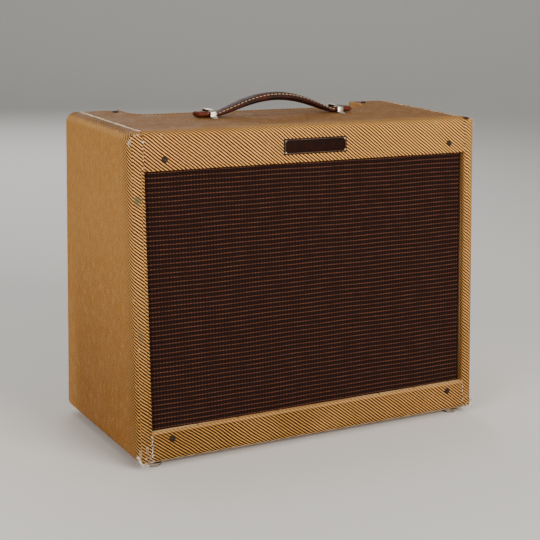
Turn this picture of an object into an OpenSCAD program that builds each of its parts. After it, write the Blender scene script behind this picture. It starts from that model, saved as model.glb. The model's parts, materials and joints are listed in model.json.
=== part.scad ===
// Combo guitar amplifier: cloth-covered pine cabinet with a slanted front, one 12 inch
// loudspeaker on a floating baffle, and a valve chassis hung under a notch in the top.
// Frame: origin on the floor under the middle of the cabinet, +Z up, -Y is the front.

/* [Cabinet] */
// Outside width over the cloth
cab_w = 508; // [480:1:560]
// Outside height without the feet
cab_h = 404; // [396:1:440]
// Outside depth at the bottom, over the cloth
cab_d = 238; // [234:1:260]
// How far the front leans back from bottom to top
lean = 35; // [20:1:36]
// Radius of the long side edges
edge_r = 13; // [8:1:16]
// Radius of the front edges
front_r = 11; // [6:1:12]
// Thickness of the pine boards
board_t = 17; // [15:0.5:18]
// Thickness of the cloth covering
cloth_t = 1; // [0.6:0.1:1.2]
// Height of the glide feet
foot_h = 6; // [5:1:9]

/* [Front] */
// Height of the bottom of the grille opening, along the slope
open_low = 42; // [38:1:50]
// Height of the top of the grille opening, along the slope
open_high = 360; // [352:1:362]
// Thickness of the front rails
rail_t = 6; // [5:0.5:7]
// Thickness of the baffle board
baffle_t = 9; // [8:0.5:12]
// Half distance between the left and right baffle screws
baffle_screw_x = 209; // [200:1:215]
// Length of the nameplate
plate_w = 92; // [80:1:110]
// Height of the nameplate
plate_h = 20; // [16:1:22]

/* [Controls] */
// Half width of the notch for the control panel
notch_half = 181; // [180:1:186]
// Tilt of the control panel towards the back
panel_tilt = 20; // [16:1:22]
// Spacing of the input jacks
jack_pitch = 26; // [24:1:27]
// Spacing of the knobs
knob_pitch = 42; // [40:1:44]
// Length of the knob pointer from its axis
knob_reach = 16; // [13:0.5:17]

/* [Handle] */
// Half distance between the handle loops
loop_x = 96; // [90:1:104]
// Rise of the handle arch
handle_rise = 21; // [16:1:26]
// Width of the handle strap
strap_w = 22; // [18:1:24]
// Thickness of the strap where it passes the loops
strap_t = 5; // [4:0.5:5.5]

/* [Hidden] */
$fn = 48;

wood_gap = 0.05;
wood_in = cloth_t + wood_gap;
slope = lean / cab_h;
slope_len = sqrt(1 + slope * slope);
slant = atan(slope);
back_screw_h = 2;
y_front = -(cab_d + back_screw_h) / 2;
y_rear = y_front + cab_d;
z_low = foot_h;
z_top = foot_h + cab_h;
inner_x = cab_w / 2 - cloth_t - board_t;
z_floor = z_low + cloth_t + board_t;
z_ceiling = z_top - cloth_t - board_t;

grille_y = cloth_t + rail_t;
grille_t = 1;
baffle_y = grille_y + grille_t;
baffle_back = baffle_y + baffle_t;
baffle_gap = 3.5;
spk_z = (open_low + open_high) / 2;
screw_z_low = 30.5;
screw_z_high = 372.5;
plate_z = 379.5;
plate_t = 0.8;

notch_depth = 50;
notch_r = 24;
back_t = 10;
back_y = y_rear - back_t;
upper_back_h = 118;
lower_back_h = 128;

sheet = 1.5;
panel_y0 = y_rear - notch_depth + 1;
panel_y1 = back_y - 1.5;
panel_z0 = z_ceiling - 1;
panel_run = panel_y1 - panel_y0;
panel_z1 = panel_z0 - panel_run * tan(panel_tilt);
panel_y = (panel_y0 + panel_y1) / 2;
panel_z = (panel_z0 + panel_z1) / 2;
chassis_y0 = y_rear - notch_depth - 24;
chassis_z0 = z_top - 80;
chassis_half = 178;
chassis_screw_in = 18;
shelf_z = z_ceiling - 6;
tube_y = (chassis_y0 + panel_y1) / 2;

jack_x0 = 160;
knob_x0 = 46;
lamp_x = -78;
power_x = -106;
fuse_x = -132;
ground_x = -160;
shaft_r = 3.175;
run_gap = 0.05;
bush_r = 4.76;
toggle_throw = 12;

handle_y = 20;
loop_w = 9;
loop_clear = 3.4;
strap_end = 116;
arch_half = 88;

cone_r = 131;
coil_r = 13.2;
cone_neck_z = 52;
spider_z = 57;
basket_z = 62;
lead_lean = 49.4;
lead_turn = -17.6;
lead_gap = 2.5;
lead_run = 127.5;

// ---------- frames of reference ----------

// x across, y inwards from the front face, z up along the slope
module front_frame() translate([0, y_front, z_low]) rotate([-slant, 0, 0]) children();

// z along the loudspeaker axis towards the back, measured from the front face
module speaker_frame() front_frame() translate([0, 0, spk_z]) rotate([-90, 0, 0]) children();

// z out of the control panel, y down its slope towards the back; x counts to the left
module panel_frame(x) translate([-x, panel_y, panel_z]) rotate([-panel_tilt, 0, 0]) children();

// mirrors its children to the other side as well
module both_sides() {
    children();
    mirror([1, 0, 0]) children();
}

module at_four(x, z0, z1) for (sx = [-x, x], z = [z0, z1]) translate([sx, 0, z]) children();

module centred_box(w, y0, y1, z0, z1) translate([-w / 2, y0, z0]) cube([w, y1 - y0, z1 - z0]);

module ring(r_out, r_in, h) difference() {
    cylinder(r = r_out, h = h);
    translate([0, 0, -1]) cylinder(r = r_in, h = h + 2);
}

module hex_nut(across, bore_r, h) difference() {
    cylinder(r = across / sqrt(3), h = h, $fn = 6);
    translate([0, 0, -1]) cylinder(r = bore_r, h = h + 2);
}

// ---------- outer form ----------

module rounded_rect(w, h, r) {
    square([w - 2 * r, h], center = true);
    square([w, h - 2 * r], center = true);
    for (sx = [-1, 1], sy = [-1, 1]) translate([sx * (w / 2 - r), sy * (h / 2 - r)]) circle(r = r);
}

// side view, inset by g: a slanted front with rounded top and bottom corners
module side_profile(g) {
    r = front_r;
    low = [y_front + slope * r + r * slope_len, z_low + r];
    high = [y_front + slope * (cab_h - r) + r * slope_len, z_top - r];
    out = (r - g) * [-1, slope] / slope_len;
    polygon([[low[0], z_low + g], [y_rear - g, z_low + g], [y_rear - g, z_top - g],
        [high[0], z_top - g], high + out, low + out]);
    translate(low) circle(r = r - g);
    translate(high) circle(r = r - g);
}

// plan view along the slope, inset by g
module plan_profile(g) {
    r = front_r;
    half = cab_w / 2;
    translate([-(half - r), g]) square([2 * (half - r), 400]);
    translate([-(half - g), r]) square([2 * (half - g), 400]);
    for (s = [-1, 1]) translate([s * (half - r), r]) circle(r = r - g);
}

module outer_form(g) intersection() {
    translate([0, 400, z_low + cab_h / 2]) rotate([90, 0, 0])
        linear_extrude(800) rounded_rect(cab_w - 2 * g, cab_h - 2 * g, edge_r - g);
    translate([-cab_w / 2, 0, 0]) rotate([90, 0, 90]) linear_extrude(cab_w) side_profile(g);
    front_frame() translate([0, 0, -60]) linear_extrude(cab_h + 120) plan_profile(g);
}

module rail_zone(y1, z0, z1) front_frame() centred_box(2 * inner_x, -20, y1, z0, z1);

module notch(extra) {
    half = notch_half + extra;
    y0 = y_rear - notch_depth - extra;
    r = notch_r;
    translate([0, 0, z_ceiling - 20]) linear_extrude(80) {
        translate([-half, y0 + r]) square([2 * half, 100]);
        translate([-(half - r), y0]) square([2 * (half - r), 100]);
        for (s = [-1, 1]) translate([s * (half - r), y0 + r]) circle(r = r);
    }
}

// ---------- cabinet ----------

module side_board() color("burlywood") intersection() {
    outer_form(wood_in);
    translate([-cab_w / 2, -300, 0]) cube([cab_w / 2 - inner_x, 600, 600]);
}

module left_side_board() side_board();
module right_side_board() mirror([1, 0, 0]) side_board();

module top_board() color("burlywood") difference() {
    intersection() {
        outer_form(wood_in);
        centred_box(2 * inner_x, -300, 300, z_ceiling, z_top);
    }
    notch(cloth_t);
    chassis_screw_places() translate([0, 0, z_ceiling - 4]) cylinder(r = 2.6, h = 33);
}

module bottom_board() color("burlywood") difference() {
    intersection() {
        outer_form(wood_in);
        centred_box(2 * inner_x, -300, 300, z_low, z_floor);
    }
    foot_places() translate([0, 0, -1]) cylinder(r = 1.6, h = foot_h + 11);
}

// rail between the boards, cut back to the end face of the board behind it
module front_rail(z0, z1, screw_z) color("burlywood") difference() {
    intersection() {
        outer_form(wood_in);
        rail_zone(grille_y, z0, z1);
        centred_box(2 * inner_x, -300, 300, z_floor, z_ceiling);
    }
    front_frame() for (s = [-1, 1]) translate([s * baffle_screw_x, -1, screw_z])
        rotate([-90, 0, 0]) cylinder(r = 2.6, h = 20);
}

module front_top_rail() front_rail(open_high, cab_h + 20, screw_z_high);
module front_bottom_rail() front_rail(-20, open_low, screw_z_low);

module back_cleats() color("tan") both_sides() {
    translate([inner_x - 18, back_y - 16, z_floor]) cube([18, 16, lower_back_h - 4]);
    translate([inner_x - 18, back_y - 16, panel_z1 - upper_back_h])
        cube([18, 16, z_ceiling - 0.5 - panel_z1 + upper_back_h]);
}

module tweed_side() color("goldenrod") difference() {
    intersection() {
        outer_form(0);
        translate([-cab_w / 2 - 1, -300, 0]) cube([cab_w / 2 + 1 - inner_x, 600, 600]);
    }
    outer_form(cloth_t);
}

module tweed_left() tweed_side();
module tweed_right() mirror([1, 0, 0]) tweed_side();

module tweed_top() color("goldenrod") difference() {
    intersection() {
        outer_form(0);
        union() {
            rail_zone(30, open_high, cab_h + 20);
            centred_box(2 * inner_x, y_front + 50, 300, z_ceiling, z_top + 1);
        }
    }
    outer_form(cloth_t);
    notch(0);
    chassis_screw_places() translate([0, 0, z_ceiling - 4]) cylinder(r = 2.6, h = 33);
    front_frame() for (s = [-1, 1]) translate([s * baffle_screw_x, -2, screw_z_high])
        rotate([-90, 0, 0]) cylinder(r = 2.6, h = 20);
}

module tweed_bottom() color("goldenrod") difference() {
    intersection() {
        outer_form(0);
        union() {
            rail_zone(30, -20, open_low);
            centred_box(2 * inner_x, y_front + 20, 300, z_low - 1, z_floor);
        }
    }
    outer_form(cloth_t);
    foot_places() translate([0, 0, -1]) cylinder(r = 1.6, h = foot_h + 11);
    front_frame() for (s = [-1, 1]) translate([s * baffle_screw_x, -2, screw_z_low])
        rotate([-90, 0, 0]) cylinder(r = 2.6, h = 20);
}

module baffle_board() color("saddlebrown") difference() {
    front_frame() centred_box(2 * (inner_x - baffle_gap), baffle_y, baffle_back, 22, 382);
    speaker_frame() cylinder(r = 134, h = 60);
    baffle_holes();
    speaker_frame() bolt_circle() cylinder(r = 2.6, h = 60);
}

module grille_cloth() color("maroon") difference() {
    front_frame() centred_box(2 * (inner_x - baffle_gap), grille_y, baffle_y, 22, 382);
    baffle_holes();
}

module baffle_holes() front_frame() at_four(baffle_screw_x, screw_z_low, screw_z_high)
    rotate([-90, 0, 0]) cylinder(r = 2.6, h = 60);

// machine screws through the front rails and the baffle
module baffle_screws() color("dimgray") front_frame()
    at_four(baffle_screw_x, screw_z_low, screw_z_high) rotate([-90, 0, 0]) difference() {
        union() {
            translate([0, 0, -0.2]) cylinder(r = 2.4, h = baffle_back + 6);
            translate([0, 0, -2.2]) cylinder(r1 = 2.4, r2 = 4, h = 1.2);
            translate([0, 0, -1]) cylinder(r = 4, h = 1);
        }
        translate([-5, -0.6, -3]) cube([10, 1.2, 1.6]);
    }

module baffle_nuts() color("silver") front_frame()
    at_four(baffle_screw_x, screw_z_low, screw_z_high)
        translate([0, baffle_back, 0]) rotate([-90, 0, 0]) hex_nut(8.7, 2.5, 3.2);

module nameplate() color("sienna") front_frame() difference() {
    translate([0, 0, plate_z]) rotate([90, 0, 0]) linear_extrude(plate_t)
        rounded_rect(plate_w, plate_h, 1.5);
    plate_nail_places() translate([0, 0, -4]) cylinder(r = 0.9, h = 8);
}

module plate_nail_places() for (sx = [-1, 1], sz = [-1, 1])
    translate([sx * (plate_w / 2 - 2.6), 0, plate_z + sz * (plate_h / 2 - 2.6)])
        rotate([90, 0, 0]) children();

module nameplate_nails() color("silver") front_frame() plate_nail_places() {
    translate([0, 0, 0.05]) cylinder(r = 0.8, h = plate_t);
    translate([0, 0, plate_t]) cylinder(r1 = 1.5, r2 = 0.8, h = 0.9);
}

// ---------- back panels ----------

module back_panel(z0, h) color("goldenrod")
    centred_box(2 * inner_x - 2, back_y, y_rear, z0, z0 + h);

module upper_back_panel() difference() {
    union() {
        back_panel(panel_z1 - upper_back_h, upper_back_h - 1);
        both_sides() color("goldenrod") translate([notch_half + 1, back_y, panel_z1 - upper_back_h])
            cube([inner_x - notch_half - 2, back_t, z_ceiling - 0.5 - panel_z1 + upper_back_h]);
    }
    back_screw_places() translate([0, 0, -20]) cylinder(r = 2, h = 40);
}

module lower_back_panel() difference() {
    back_panel(z_floor + 0.5, lower_back_h);
    back_screw_places() translate([0, 0, -20]) cylinder(r = 2, h = 40);
}

module back_screw_places()
    for (x = [-inner_x + 10, inner_x - 10], z = [z_floor + 18, z_floor + lower_back_h - 18,
        panel_z1 - upper_back_h + 14, z_ceiling - 14])
        translate([x, y_rear, z]) rotate([-90, 0, 0]) children();

// wood screws, each with its cup washer
module back_panel_screws() color("silver") back_screw_places() {
    translate([0, 0, -back_t]) cylinder(r = 1.9, h = back_t);
    cylinder(r1 = 6, r2 = 4, h = 1.2);
    translate([0, 0, 1.2]) cylinder(r1 = 3.6, r2 = 2, h = back_screw_h - 1.2);
}

// ---------- feet and handle ----------

module foot_places() for (x = [-227, 227], y = [y_front + 16, y_rear - 18])
    translate([x, y, 0]) children();

// pressed steel glides, each with its nail
module glide_feet() color("silver") foot_places() {
    rotate_extrude() polygon([[0, 0], [5, 0], [8, 1.2], [9.6, 3], [10, foot_h - 0.02],
        [0, foot_h - 0.02]]);
    translate([0, 0, foot_h - 0.5]) cylinder(r = 1.5, h = 9.5);
}

// the strap's middle line: flat at the ends, one smooth arch between the loops
function crown(x) = abs(x) >= arch_half ? 0 : pow(1 - pow(x / arch_half, 2), 1.35);
function arch(x) = handle_rise * crown(x);
function thick(x) = strap_t + 5 * pow(crown(x), 0.6);
strap_z = z_top + 1 + strap_t / 2;

module handle_strap() color("sienna") translate([0, handle_y + strap_w / 2, strap_z])
    rotate([90, 0, 0]) linear_extrude(strap_w) polygon(concat(
        [for (x = [-strap_end:4:strap_end]) [x, arch(x) + thick(x) / 2]],
        [for (x = [strap_end:-4:-strap_end]) [x, arch(x) - thick(x) / 2]]));

// bent nickel loops that hold the strap down
module handle_loops() color("silver") both_sides() translate([loop_x, handle_y, z_top])
    difference() {
        union() {
            translate([-loop_w / 2, -strap_w / 2 - 2, 0])
                cube([loop_w, strap_w + 4, strap_t + loop_clear + 2]);
            translate([-loop_w / 2, -strap_w / 2 - 11, 0]) cube([loop_w, strap_w + 22, 1.2]);
        }
        translate([-loop_w, -strap_w / 2 - 0.6, -1])
            cube([2 * loop_w, strap_w + 1.2, strap_t + loop_clear + 1.6]);
        for (s = [-1, 1]) translate([0, s * (strap_w / 2 + 6.5), -1]) cylinder(r = 1.9, h = 4);
    }

module handle_loop_screws() color("silver") both_sides()
    for (s = [-1, 1]) translate([loop_x, handle_y + s * (strap_w / 2 + 6.5), z_top]) {
        translate([0, 0, 0]) cylinder(r = 1.8, h = 1.3);
        translate([0, 0, 1.2]) cylinder(r1 = 3.4, r2 = 1.6, h = 1.6);
    }

// ---------- chassis ----------

module chassis_outline(g) {
    lift = g / cos(panel_tilt);
    rear = panel_y1 + (g > 0 ? 1 : 0);
    polygon([[rear, panel_z0 - (rear - panel_y0) * tan(panel_tilt) - lift],
        [panel_y0 + g, panel_z0 - g * tan(panel_tilt) - lift], [panel_y0 + g, shelf_z - g],
        [chassis_y0 + g, shelf_z - g], [chassis_y0 + g, chassis_z0 + g], [rear, chassis_z0 + g]]);
}

module along_chassis(half) translate([-half, 0, 0]) rotate([90, 0, 90])
    linear_extrude(2 * half) children();

module chassis() color("silver") difference() {
    union() {
        difference() {
            along_chassis(chassis_half) chassis_outline(0);
            along_chassis(chassis_half - sheet) chassis_outline(sheet);
        }
        both_sides() translate([chassis_half - sheet, y_rear - 26, z_ceiling - 2])
            cube([26, 24 - back_t, 2]);
        both_sides() translate([chassis_half - sheet, y_rear - 26, panel_z1 - 10])
            cube([sheet, 24 - back_t, z_ceiling - panel_z1 + 10]);
    }
    for (i = [0:3]) panel_frame(jack_x0 - i * jack_pitch)
        translate([0, 0, -5]) cylinder(r = 4.9, h = 12);
    for (i = [0:2]) panel_frame(knob_x0 - i * knob_pitch)
        translate([0, 0, -5]) cylinder(r = 4.9, h = 12);
    for (x = [power_x, ground_x, lamp_x, fuse_x]) panel_frame(x)
        translate([0, 0, -5]) cylinder(r = 6.2, h = 12);
    for (t = tube_places) translate([t[0], tube_y, chassis_z0 - 1]) cylinder(r = t[1] + 0.2, h = 4);
    chassis_screw_places() translate([0, 0, z_ceiling - 4]) cylinder(r = 2.6, h = 6);
}

// x position and socket radius: preamp, preamp, power, power, rectifier
tube_places = [[-150, 9], [-108, 9], [-56, 14], [-6, 14], [46, 14]];

module chassis_screw_places() both_sides()
    translate([notch_half + 12, y_rear - chassis_screw_in, 0]) children();

module chassis_screws() color("dimgray") chassis_screw_places() {
    translate([0, 0, z_ceiling - 8]) cylinder(r = 2.4, h = z_top - z_ceiling + 8);
    translate([0, 0, z_top]) cylinder(r1 = 5, r2 = 2.6, h = 1.8);
    translate([0, 0, z_ceiling - 5.2]) hex_nut(8.7, 2.45, 3.1);
}

module eyelet_board() color("khaki") translate([-100, chassis_y0 + sheet + 4, chassis_z0 + 8])
    cube([250, 2, 40]);

// capacitors and resistors on the eyelet board
module board_parts() color("orange") translate([-100, chassis_y0 + sheet + 6, chassis_z0 + 8]) {
    for (i = [0:6]) translate([18 + i * 34, 4.6, 4]) cylinder(r = 4.5, h = 30);
    for (i = [0:5]) translate([35 + i * 34, 2.2, 8]) cylinder(r = 2, h = 20);
}

module tube_sockets() color("saddlebrown") for (t = tube_places)
    translate([t[0], tube_y, chassis_z0 - 4]) {
        cylinder(r = t[1], h = 9);
        ring(t[1] + 4, t[1] - 0.01, 3.9);
    }

// glass bulb on a moulded base, hanging from its socket
module tube(x, r, base_h, h) translate([x, tube_y, chassis_z0 - 4]) rotate([180, 0, 0])
    rotate_extrude() polygon(concat([[0, 0], [r * 0.92, 0], [r * 0.92, base_h], [r, base_h + 4], [r, h - r]],
        [for (a = [0:15:90]) [r * cos(a), h - r + r * sin(a)]]));

module rectifier_tube() color("gainsboro") tube(tube_places[4][0], 18, 14, 92);

module power_tubes() color("gainsboro") {
    tube(tube_places[2][0], 15.5, 14, 84);
    tube(tube_places[3][0], 15.5, 14, 84);
}

module preamp_tubes() color("gainsboro") {
    tube(tube_places[0][0], 10.5, 4, 56);
    tube(tube_places[1][0], 10.5, 4, 56);
}

// laminated core with a bell on each side
module transformer(core, bell) {
    translate([-core[0] / 2, -core[1] / 2, 0]) cube(core);
    for (s = [0, 1]) mirror([0, s, 0]) translate([0, core[1] / 2, core[2] / 2]) rotate([-90, 0, 0])
        linear_extrude(bell) rounded_rect(core[0] * 0.72, core[2] * 0.8, 5);
}

module power_transformer() color("dimgray") translate([128, tube_y, chassis_z0 - 66])
    transformer([78, 26, 66], 15);

module output_transformer() color("dimgray") translate([-170, 0, z_floor])
    transformer([54, 22, 46], 12);

// ---------- control panel parts ----------

module input_jacks() color("silver") for (i = [0:3]) panel_frame(jack_x0 - i * jack_pitch) {
    difference() {
        union() {
            translate([0, 0, -sheet - 1]) cylinder(r = bush_r, h = sheet + 6.5);
            translate([0, 0, -12]) cylinder(r = 8, h = 12 - sheet - wood_gap);
        }
        translate([0, 0, -14]) cylinder(r = 3.2, h = 30);
    }
}

module panel_nuts() color("silver") {
    for (i = [0:3]) panel_frame(jack_x0 - i * jack_pitch) hex_nut(12.7, bush_r + 0.02, 2.4);
    for (i = [0:2]) panel_frame(knob_x0 - i * knob_pitch) hex_nut(12.7, bush_r + 0.02, 2.4);
    for (x = [power_x, ground_x]) panel_frame(x) hex_nut(14.3, 6.02, 2);
}

module pots() color("silver") for (i = [0:2]) panel_frame(knob_x0 - i * knob_pitch) difference() {
    union() {
        translate([0, 0, -sheet - 1]) cylinder(r = bush_r, h = sheet + 5);
        translate([0, 0, -12]) cylinder(r = 11.5, h = 12 - sheet - wood_gap);
    }
    translate([0, 0, -10]) cylinder(r = shaft_r + run_gap, h = 30);
}

module shaft(i) color("silver") panel_frame(knob_x0 - i * knob_pitch)
    translate([0, 0, -8]) cylinder(r = shaft_r, h = 19);

module shaft_tone() shaft(2);
module shaft_volume_1() shaft(0);
module shaft_volume_2() shaft(1);

// pointer knob: round skirt with a tapered beak, bored for its shaft
module knob(i) color("black") panel_frame(knob_x0 - i * knob_pitch) difference() {
    translate([0, 0, 4.4]) union() {
        cylinder(r = 9.5, h = 4);
        mirror([0, 1, 0]) linear_extrude(10.5) polygon([[-4, -9], [4, -9], [5.2, 0], [1.2, knob_reach],
            [-1.2, knob_reach], [-5.2, 0]]);
    }
    translate([0, 0, 3]) cylinder(r = shaft_r + 0.01, h = 8.01);
}

module knob_tone() knob(2);
module knob_volume_1() knob(0);
module knob_volume_2() knob(1);

module pilot_lamp() color("silver") panel_frame(lamp_x) difference() {
    union() {
        translate([0, 0, -22]) cylinder(r = 6, h = 27);
        cylinder(r = 8.2, h = 2);
    }
    translate([0, 0, -20]) cylinder(r = 5.2, h = 40);
}

// faceted jewel over a small bulb
module pilot_jewel() color("red") panel_frame(lamp_x) {
    translate([0, 0, 1.5]) cylinder(r = 5.1, h = 3.5);
    translate([0, 0, 5.02]) cylinder(r1 = 6.6, r2 = 3, h = 4, $fn = 8);
    translate([0, 0, -16]) cylinder(r = 3.6, h = 15);
}

module toggle_switches() color("silver") for (x = [power_x, ground_x]) panel_frame(x) difference() {
    union() {
        translate([0, 0, -sheet - 1]) cylinder(r = 6, h = sheet + 7.5);
        translate([-6.5, -10, -20]) cube([13, 20, 20 - sheet - wood_gap]);
    }
    translate([0, 0, -7]) cylinder(r1 = 1, r2 = 5.1, h = 13.6);
    translate([0, 0, -9]) sphere(r = 3.2);
    translate([0, 0, -9]) cylinder(r = 3.2, h = 10);
    translate([-4.7, 0, -4.5]) rotate([0, 90, 0]) cylinder(r = 1.2 + run_gap, h = 9.4);
}

// bat lever, leaning at rest and thrown to the same lean the other way
module toggle_lever(x) color("silver") panel_frame(x) translate([0, 0, -4.5])
    rotate([toggle_throw, 0, 0]) {
        translate([-4.5, 0, 0]) rotate([0, 90, 0]) cylinder(r = 1.2, h = 9);
        sphere(r = 1.9);
        cylinder(r1 = 1.3, r2 = 2.3, h = 17);
        translate([0, 0, 17]) sphere(r = 2.3);
    }

module power_toggle() toggle_lever(power_x);
module ground_toggle() toggle_lever(ground_x);

module fuse_holder() color("dimgray") panel_frame(fuse_x) difference() {
    union() {
        translate([0, 0, -36]) cylinder(r = 6, h = 38);
        cylinder(r = 8, h = 2);
    }
    translate([0, 0, -35]) cylinder(r = 4.6, h = 60);
}

module fuse() color("gainsboro") panel_frame(fuse_x) translate([0, 0, -32]) cylinder(r = 3.2, h = 32);

module fuse_cap() color("black") panel_frame(fuse_x) difference() {
    union() {
        translate([0, 0, -6]) cylinder(r = 4.55, h = 9);
        translate([0, 0, 2.1]) cylinder(r = 7, h = 7);
        translate([-1.2, -7.6, 2.1]) cube([2.4, 15.2, 7]);
    }
    translate([0, 0, -7]) cylinder(r = 3.3, h = 7.2);
}

// ---------- loudspeaker ----------

module bolt_circle() for (a = [45:90:315]) rotate([0, 0, a]) translate([145, 0, 0]) children();

// pressed frame: rim, eight windows and the seat for the magnet
module speaker_basket() color("dimgray") speaker_frame() difference() {
    rotate_extrude() polygon([[134.2, baffle_back], [152, baffle_back], [152, baffle_back + 1.6],
        [138, baffle_back + 1.6], [138, 27], [64, basket_z + 1.6], [22, basket_z + 1.6], [22, basket_z],
        [54, basket_z], [54, spider_z + 0.8], [58, spider_z + 0.8], [58, basket_z], [62.5, basket_z],
        [136.4, 25], [136.4, baffle_back + 1.6], [134.2, baffle_back + 1.6]]);
    for (a = [22.5:45:360]) rotate([0, 0, a]) translate([70, -19, 30]) cube([56, 38, 28]);
    bolt_circle() cylinder(r = 2.6, h = 60);
}

module speaker_magnet() color("darkslategray") speaker_frame() difference() {
    union() {
        translate([0, 0, basket_z + 1.6]) cylinder(r = 44, h = 6);
        rotate_extrude() polygon(concat([[0, basket_z + 7.6], [40, basket_z + 7.6]],
            [for (a = [0:15:90]) [28 + 12 * cos(a), 94 + 12 * sin(a)]], [[0, 106]]));
    }
    difference() {
        translate([0, 0, basket_z]) cylinder(r = coil_r + 1, h = 24);
        translate([0, 0, basket_z - 1]) cylinder(r = coil_r - 1, h = 30);
    }
}

module speaker_spider() color("goldenrod") speaker_frame() translate([0, 0, spider_z])
    ring(58, coil_r + 1.2, 0.8);

module speaker_surround() color("black") speaker_frame() translate([0, 0, baffle_back + 1.7])
    ring(136.2, cone_r + 0.4, 1.2);

cone_z0 = baffle_back + 2;
cap_ball = 66;
function cone_front(r) = cone_z0 + (cone_r - r) * (cone_neck_z - 1.2 - cone_z0) / (cone_r - coil_r - 0.3);
cap_mid = cone_front(38) + cap_ball * cos(35);

// paper cone and its domed dust cap, one closed profile
module speaker_cone() color("black") speaker_frame() rotate_extrude() polygon(concat(
    [[cone_r, cone_z0], [38.6, cone_front(38.6)]],
    [for (a = [35:-5:0]) [cap_ball * sin(a), cap_mid - cap_ball * cos(a)]],
    [for (a = [0:5:30]) [(cap_ball - 1) * sin(a), cap_mid - (cap_ball - 1) * cos(a)]],
    [[35, cone_front(35)], [coil_r + 0.3, cone_neck_z - 1.2], [coil_r + 0.3, cone_neck_z],
    [cone_r, cone_z0 + 1.2]]));

module voice_coil() color("peru") speaker_frame() translate([0, 0, cone_neck_z - 1])
    ring(coil_r + 0.3, coil_r - 0.3, 20);

module speaker_bolts() color("silver") speaker_frame() bolt_circle() {
    translate([0, 0, baffle_y + 0.1]) cylinder(r = 2.4, h = baffle_t + 7);
    translate([0, 0, baffle_back + 1.62]) hex_nut(8.7, 2.45, 3.2);
}

// ---------- cables ----------

// lead from the output transformer up to the loudspeaker frame, drawn straight
module speaker_lead() color("dimgray") translate([-150, -10, z_floor + 46.1])
    rotate([0, lead_lean, lead_turn]) translate([0, 0, lead_gap]) cylinder(r = 2, h = lead_run);

// mains cord coiled on the cabinet floor, ending in a two-pin plug
module power_cord() color("saddlebrown") {
    for (i = [0:3]) translate([90, 46, z_floor + 4 + 7 * i]) rotate_extrude()
        translate([52 + (i % 2) * 3, 0]) circle(r = 3.4);
    translate([-20, 30, z_floor + 0.2]) {
        translate([0, 0, 12]) rotate([0, 90, 0]) cylinder(r = 11, h = 34);
        for (s = [-6.4, 6.4]) translate([34, s - 3, 11]) cube([17, 6, 1.6]);
    }
}

left_side_board();
right_side_board();
top_board();
bottom_board();
front_top_rail();
front_bottom_rail();
back_cleats();
tweed_left();
tweed_right();
tweed_top();
tweed_bottom();
baffle_board();
grille_cloth();
baffle_screws();
baffle_nuts();
nameplate();
nameplate_nails();
upper_back_panel();
lower_back_panel();
back_panel_screws();
glide_feet();
handle_loops();
handle_loop_screws();
handle_strap();
chassis();
chassis_screws();
eyelet_board();
board_parts();
tube_sockets();
rectifier_tube();
power_tubes();
preamp_tubes();
power_transformer();
output_transformer();
input_jacks();
panel_nuts();
pots();
pilot_lamp();
pilot_jewel();
toggle_switches();
power_toggle();
ground_toggle();
fuse_holder();
fuse();
fuse_cap();
shaft_tone();
shaft_volume_1();
shaft_volume_2();
knob_tone();
knob_volume_1();
knob_volume_2();
speaker_basket();
speaker_magnet();
speaker_spider();
speaker_surround();
speaker_cone();
voice_coil();
speaker_bolts();
speaker_lead();
power_cord();
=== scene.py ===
"""Looks for the tweed combo amplifier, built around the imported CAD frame.

Lengths are in metres. Cloth coordinates (UV) are in millimetres.
"""
import json
import random
import bpy
import bmesh
from math import atan2, copysign, cos, pi, radians, sin, sqrt
from mathutils import Matrix, Vector


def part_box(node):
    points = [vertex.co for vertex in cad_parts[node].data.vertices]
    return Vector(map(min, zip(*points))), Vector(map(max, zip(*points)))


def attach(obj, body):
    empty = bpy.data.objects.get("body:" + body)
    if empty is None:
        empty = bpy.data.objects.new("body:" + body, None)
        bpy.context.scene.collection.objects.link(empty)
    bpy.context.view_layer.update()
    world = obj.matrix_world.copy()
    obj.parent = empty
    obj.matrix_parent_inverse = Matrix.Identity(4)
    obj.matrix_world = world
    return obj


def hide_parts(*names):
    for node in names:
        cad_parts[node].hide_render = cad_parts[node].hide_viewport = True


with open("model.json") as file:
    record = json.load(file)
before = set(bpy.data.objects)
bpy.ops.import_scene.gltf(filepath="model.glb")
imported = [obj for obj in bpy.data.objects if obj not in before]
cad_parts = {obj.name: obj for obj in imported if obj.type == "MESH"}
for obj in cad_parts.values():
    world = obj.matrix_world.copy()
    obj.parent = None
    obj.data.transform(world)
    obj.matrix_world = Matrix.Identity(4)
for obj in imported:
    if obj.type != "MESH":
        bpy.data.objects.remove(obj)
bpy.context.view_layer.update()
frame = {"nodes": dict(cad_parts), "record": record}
RNG = random.Random(41)
MM = 0.001
TAU = 2 * pi
SIDES = (-1, 1)

# ---- frame facts
RECORD = frame["record"]
JOINTS = {j["name"]: j for j in RECORD["behaviour"]["joints"]}
MOUNTS = {m["name"]: m for m in RECORD["mounts"]}
NODES = frame["nodes"]


def box(node):
    lo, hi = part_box(node)
    return Vector(lo), Vector(hi)


def shift(x, y, z):
    return Matrix.Translation((x, y, z))


def spin(angle, axis):
    return Matrix.Rotation(angle, 4, axis)


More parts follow.
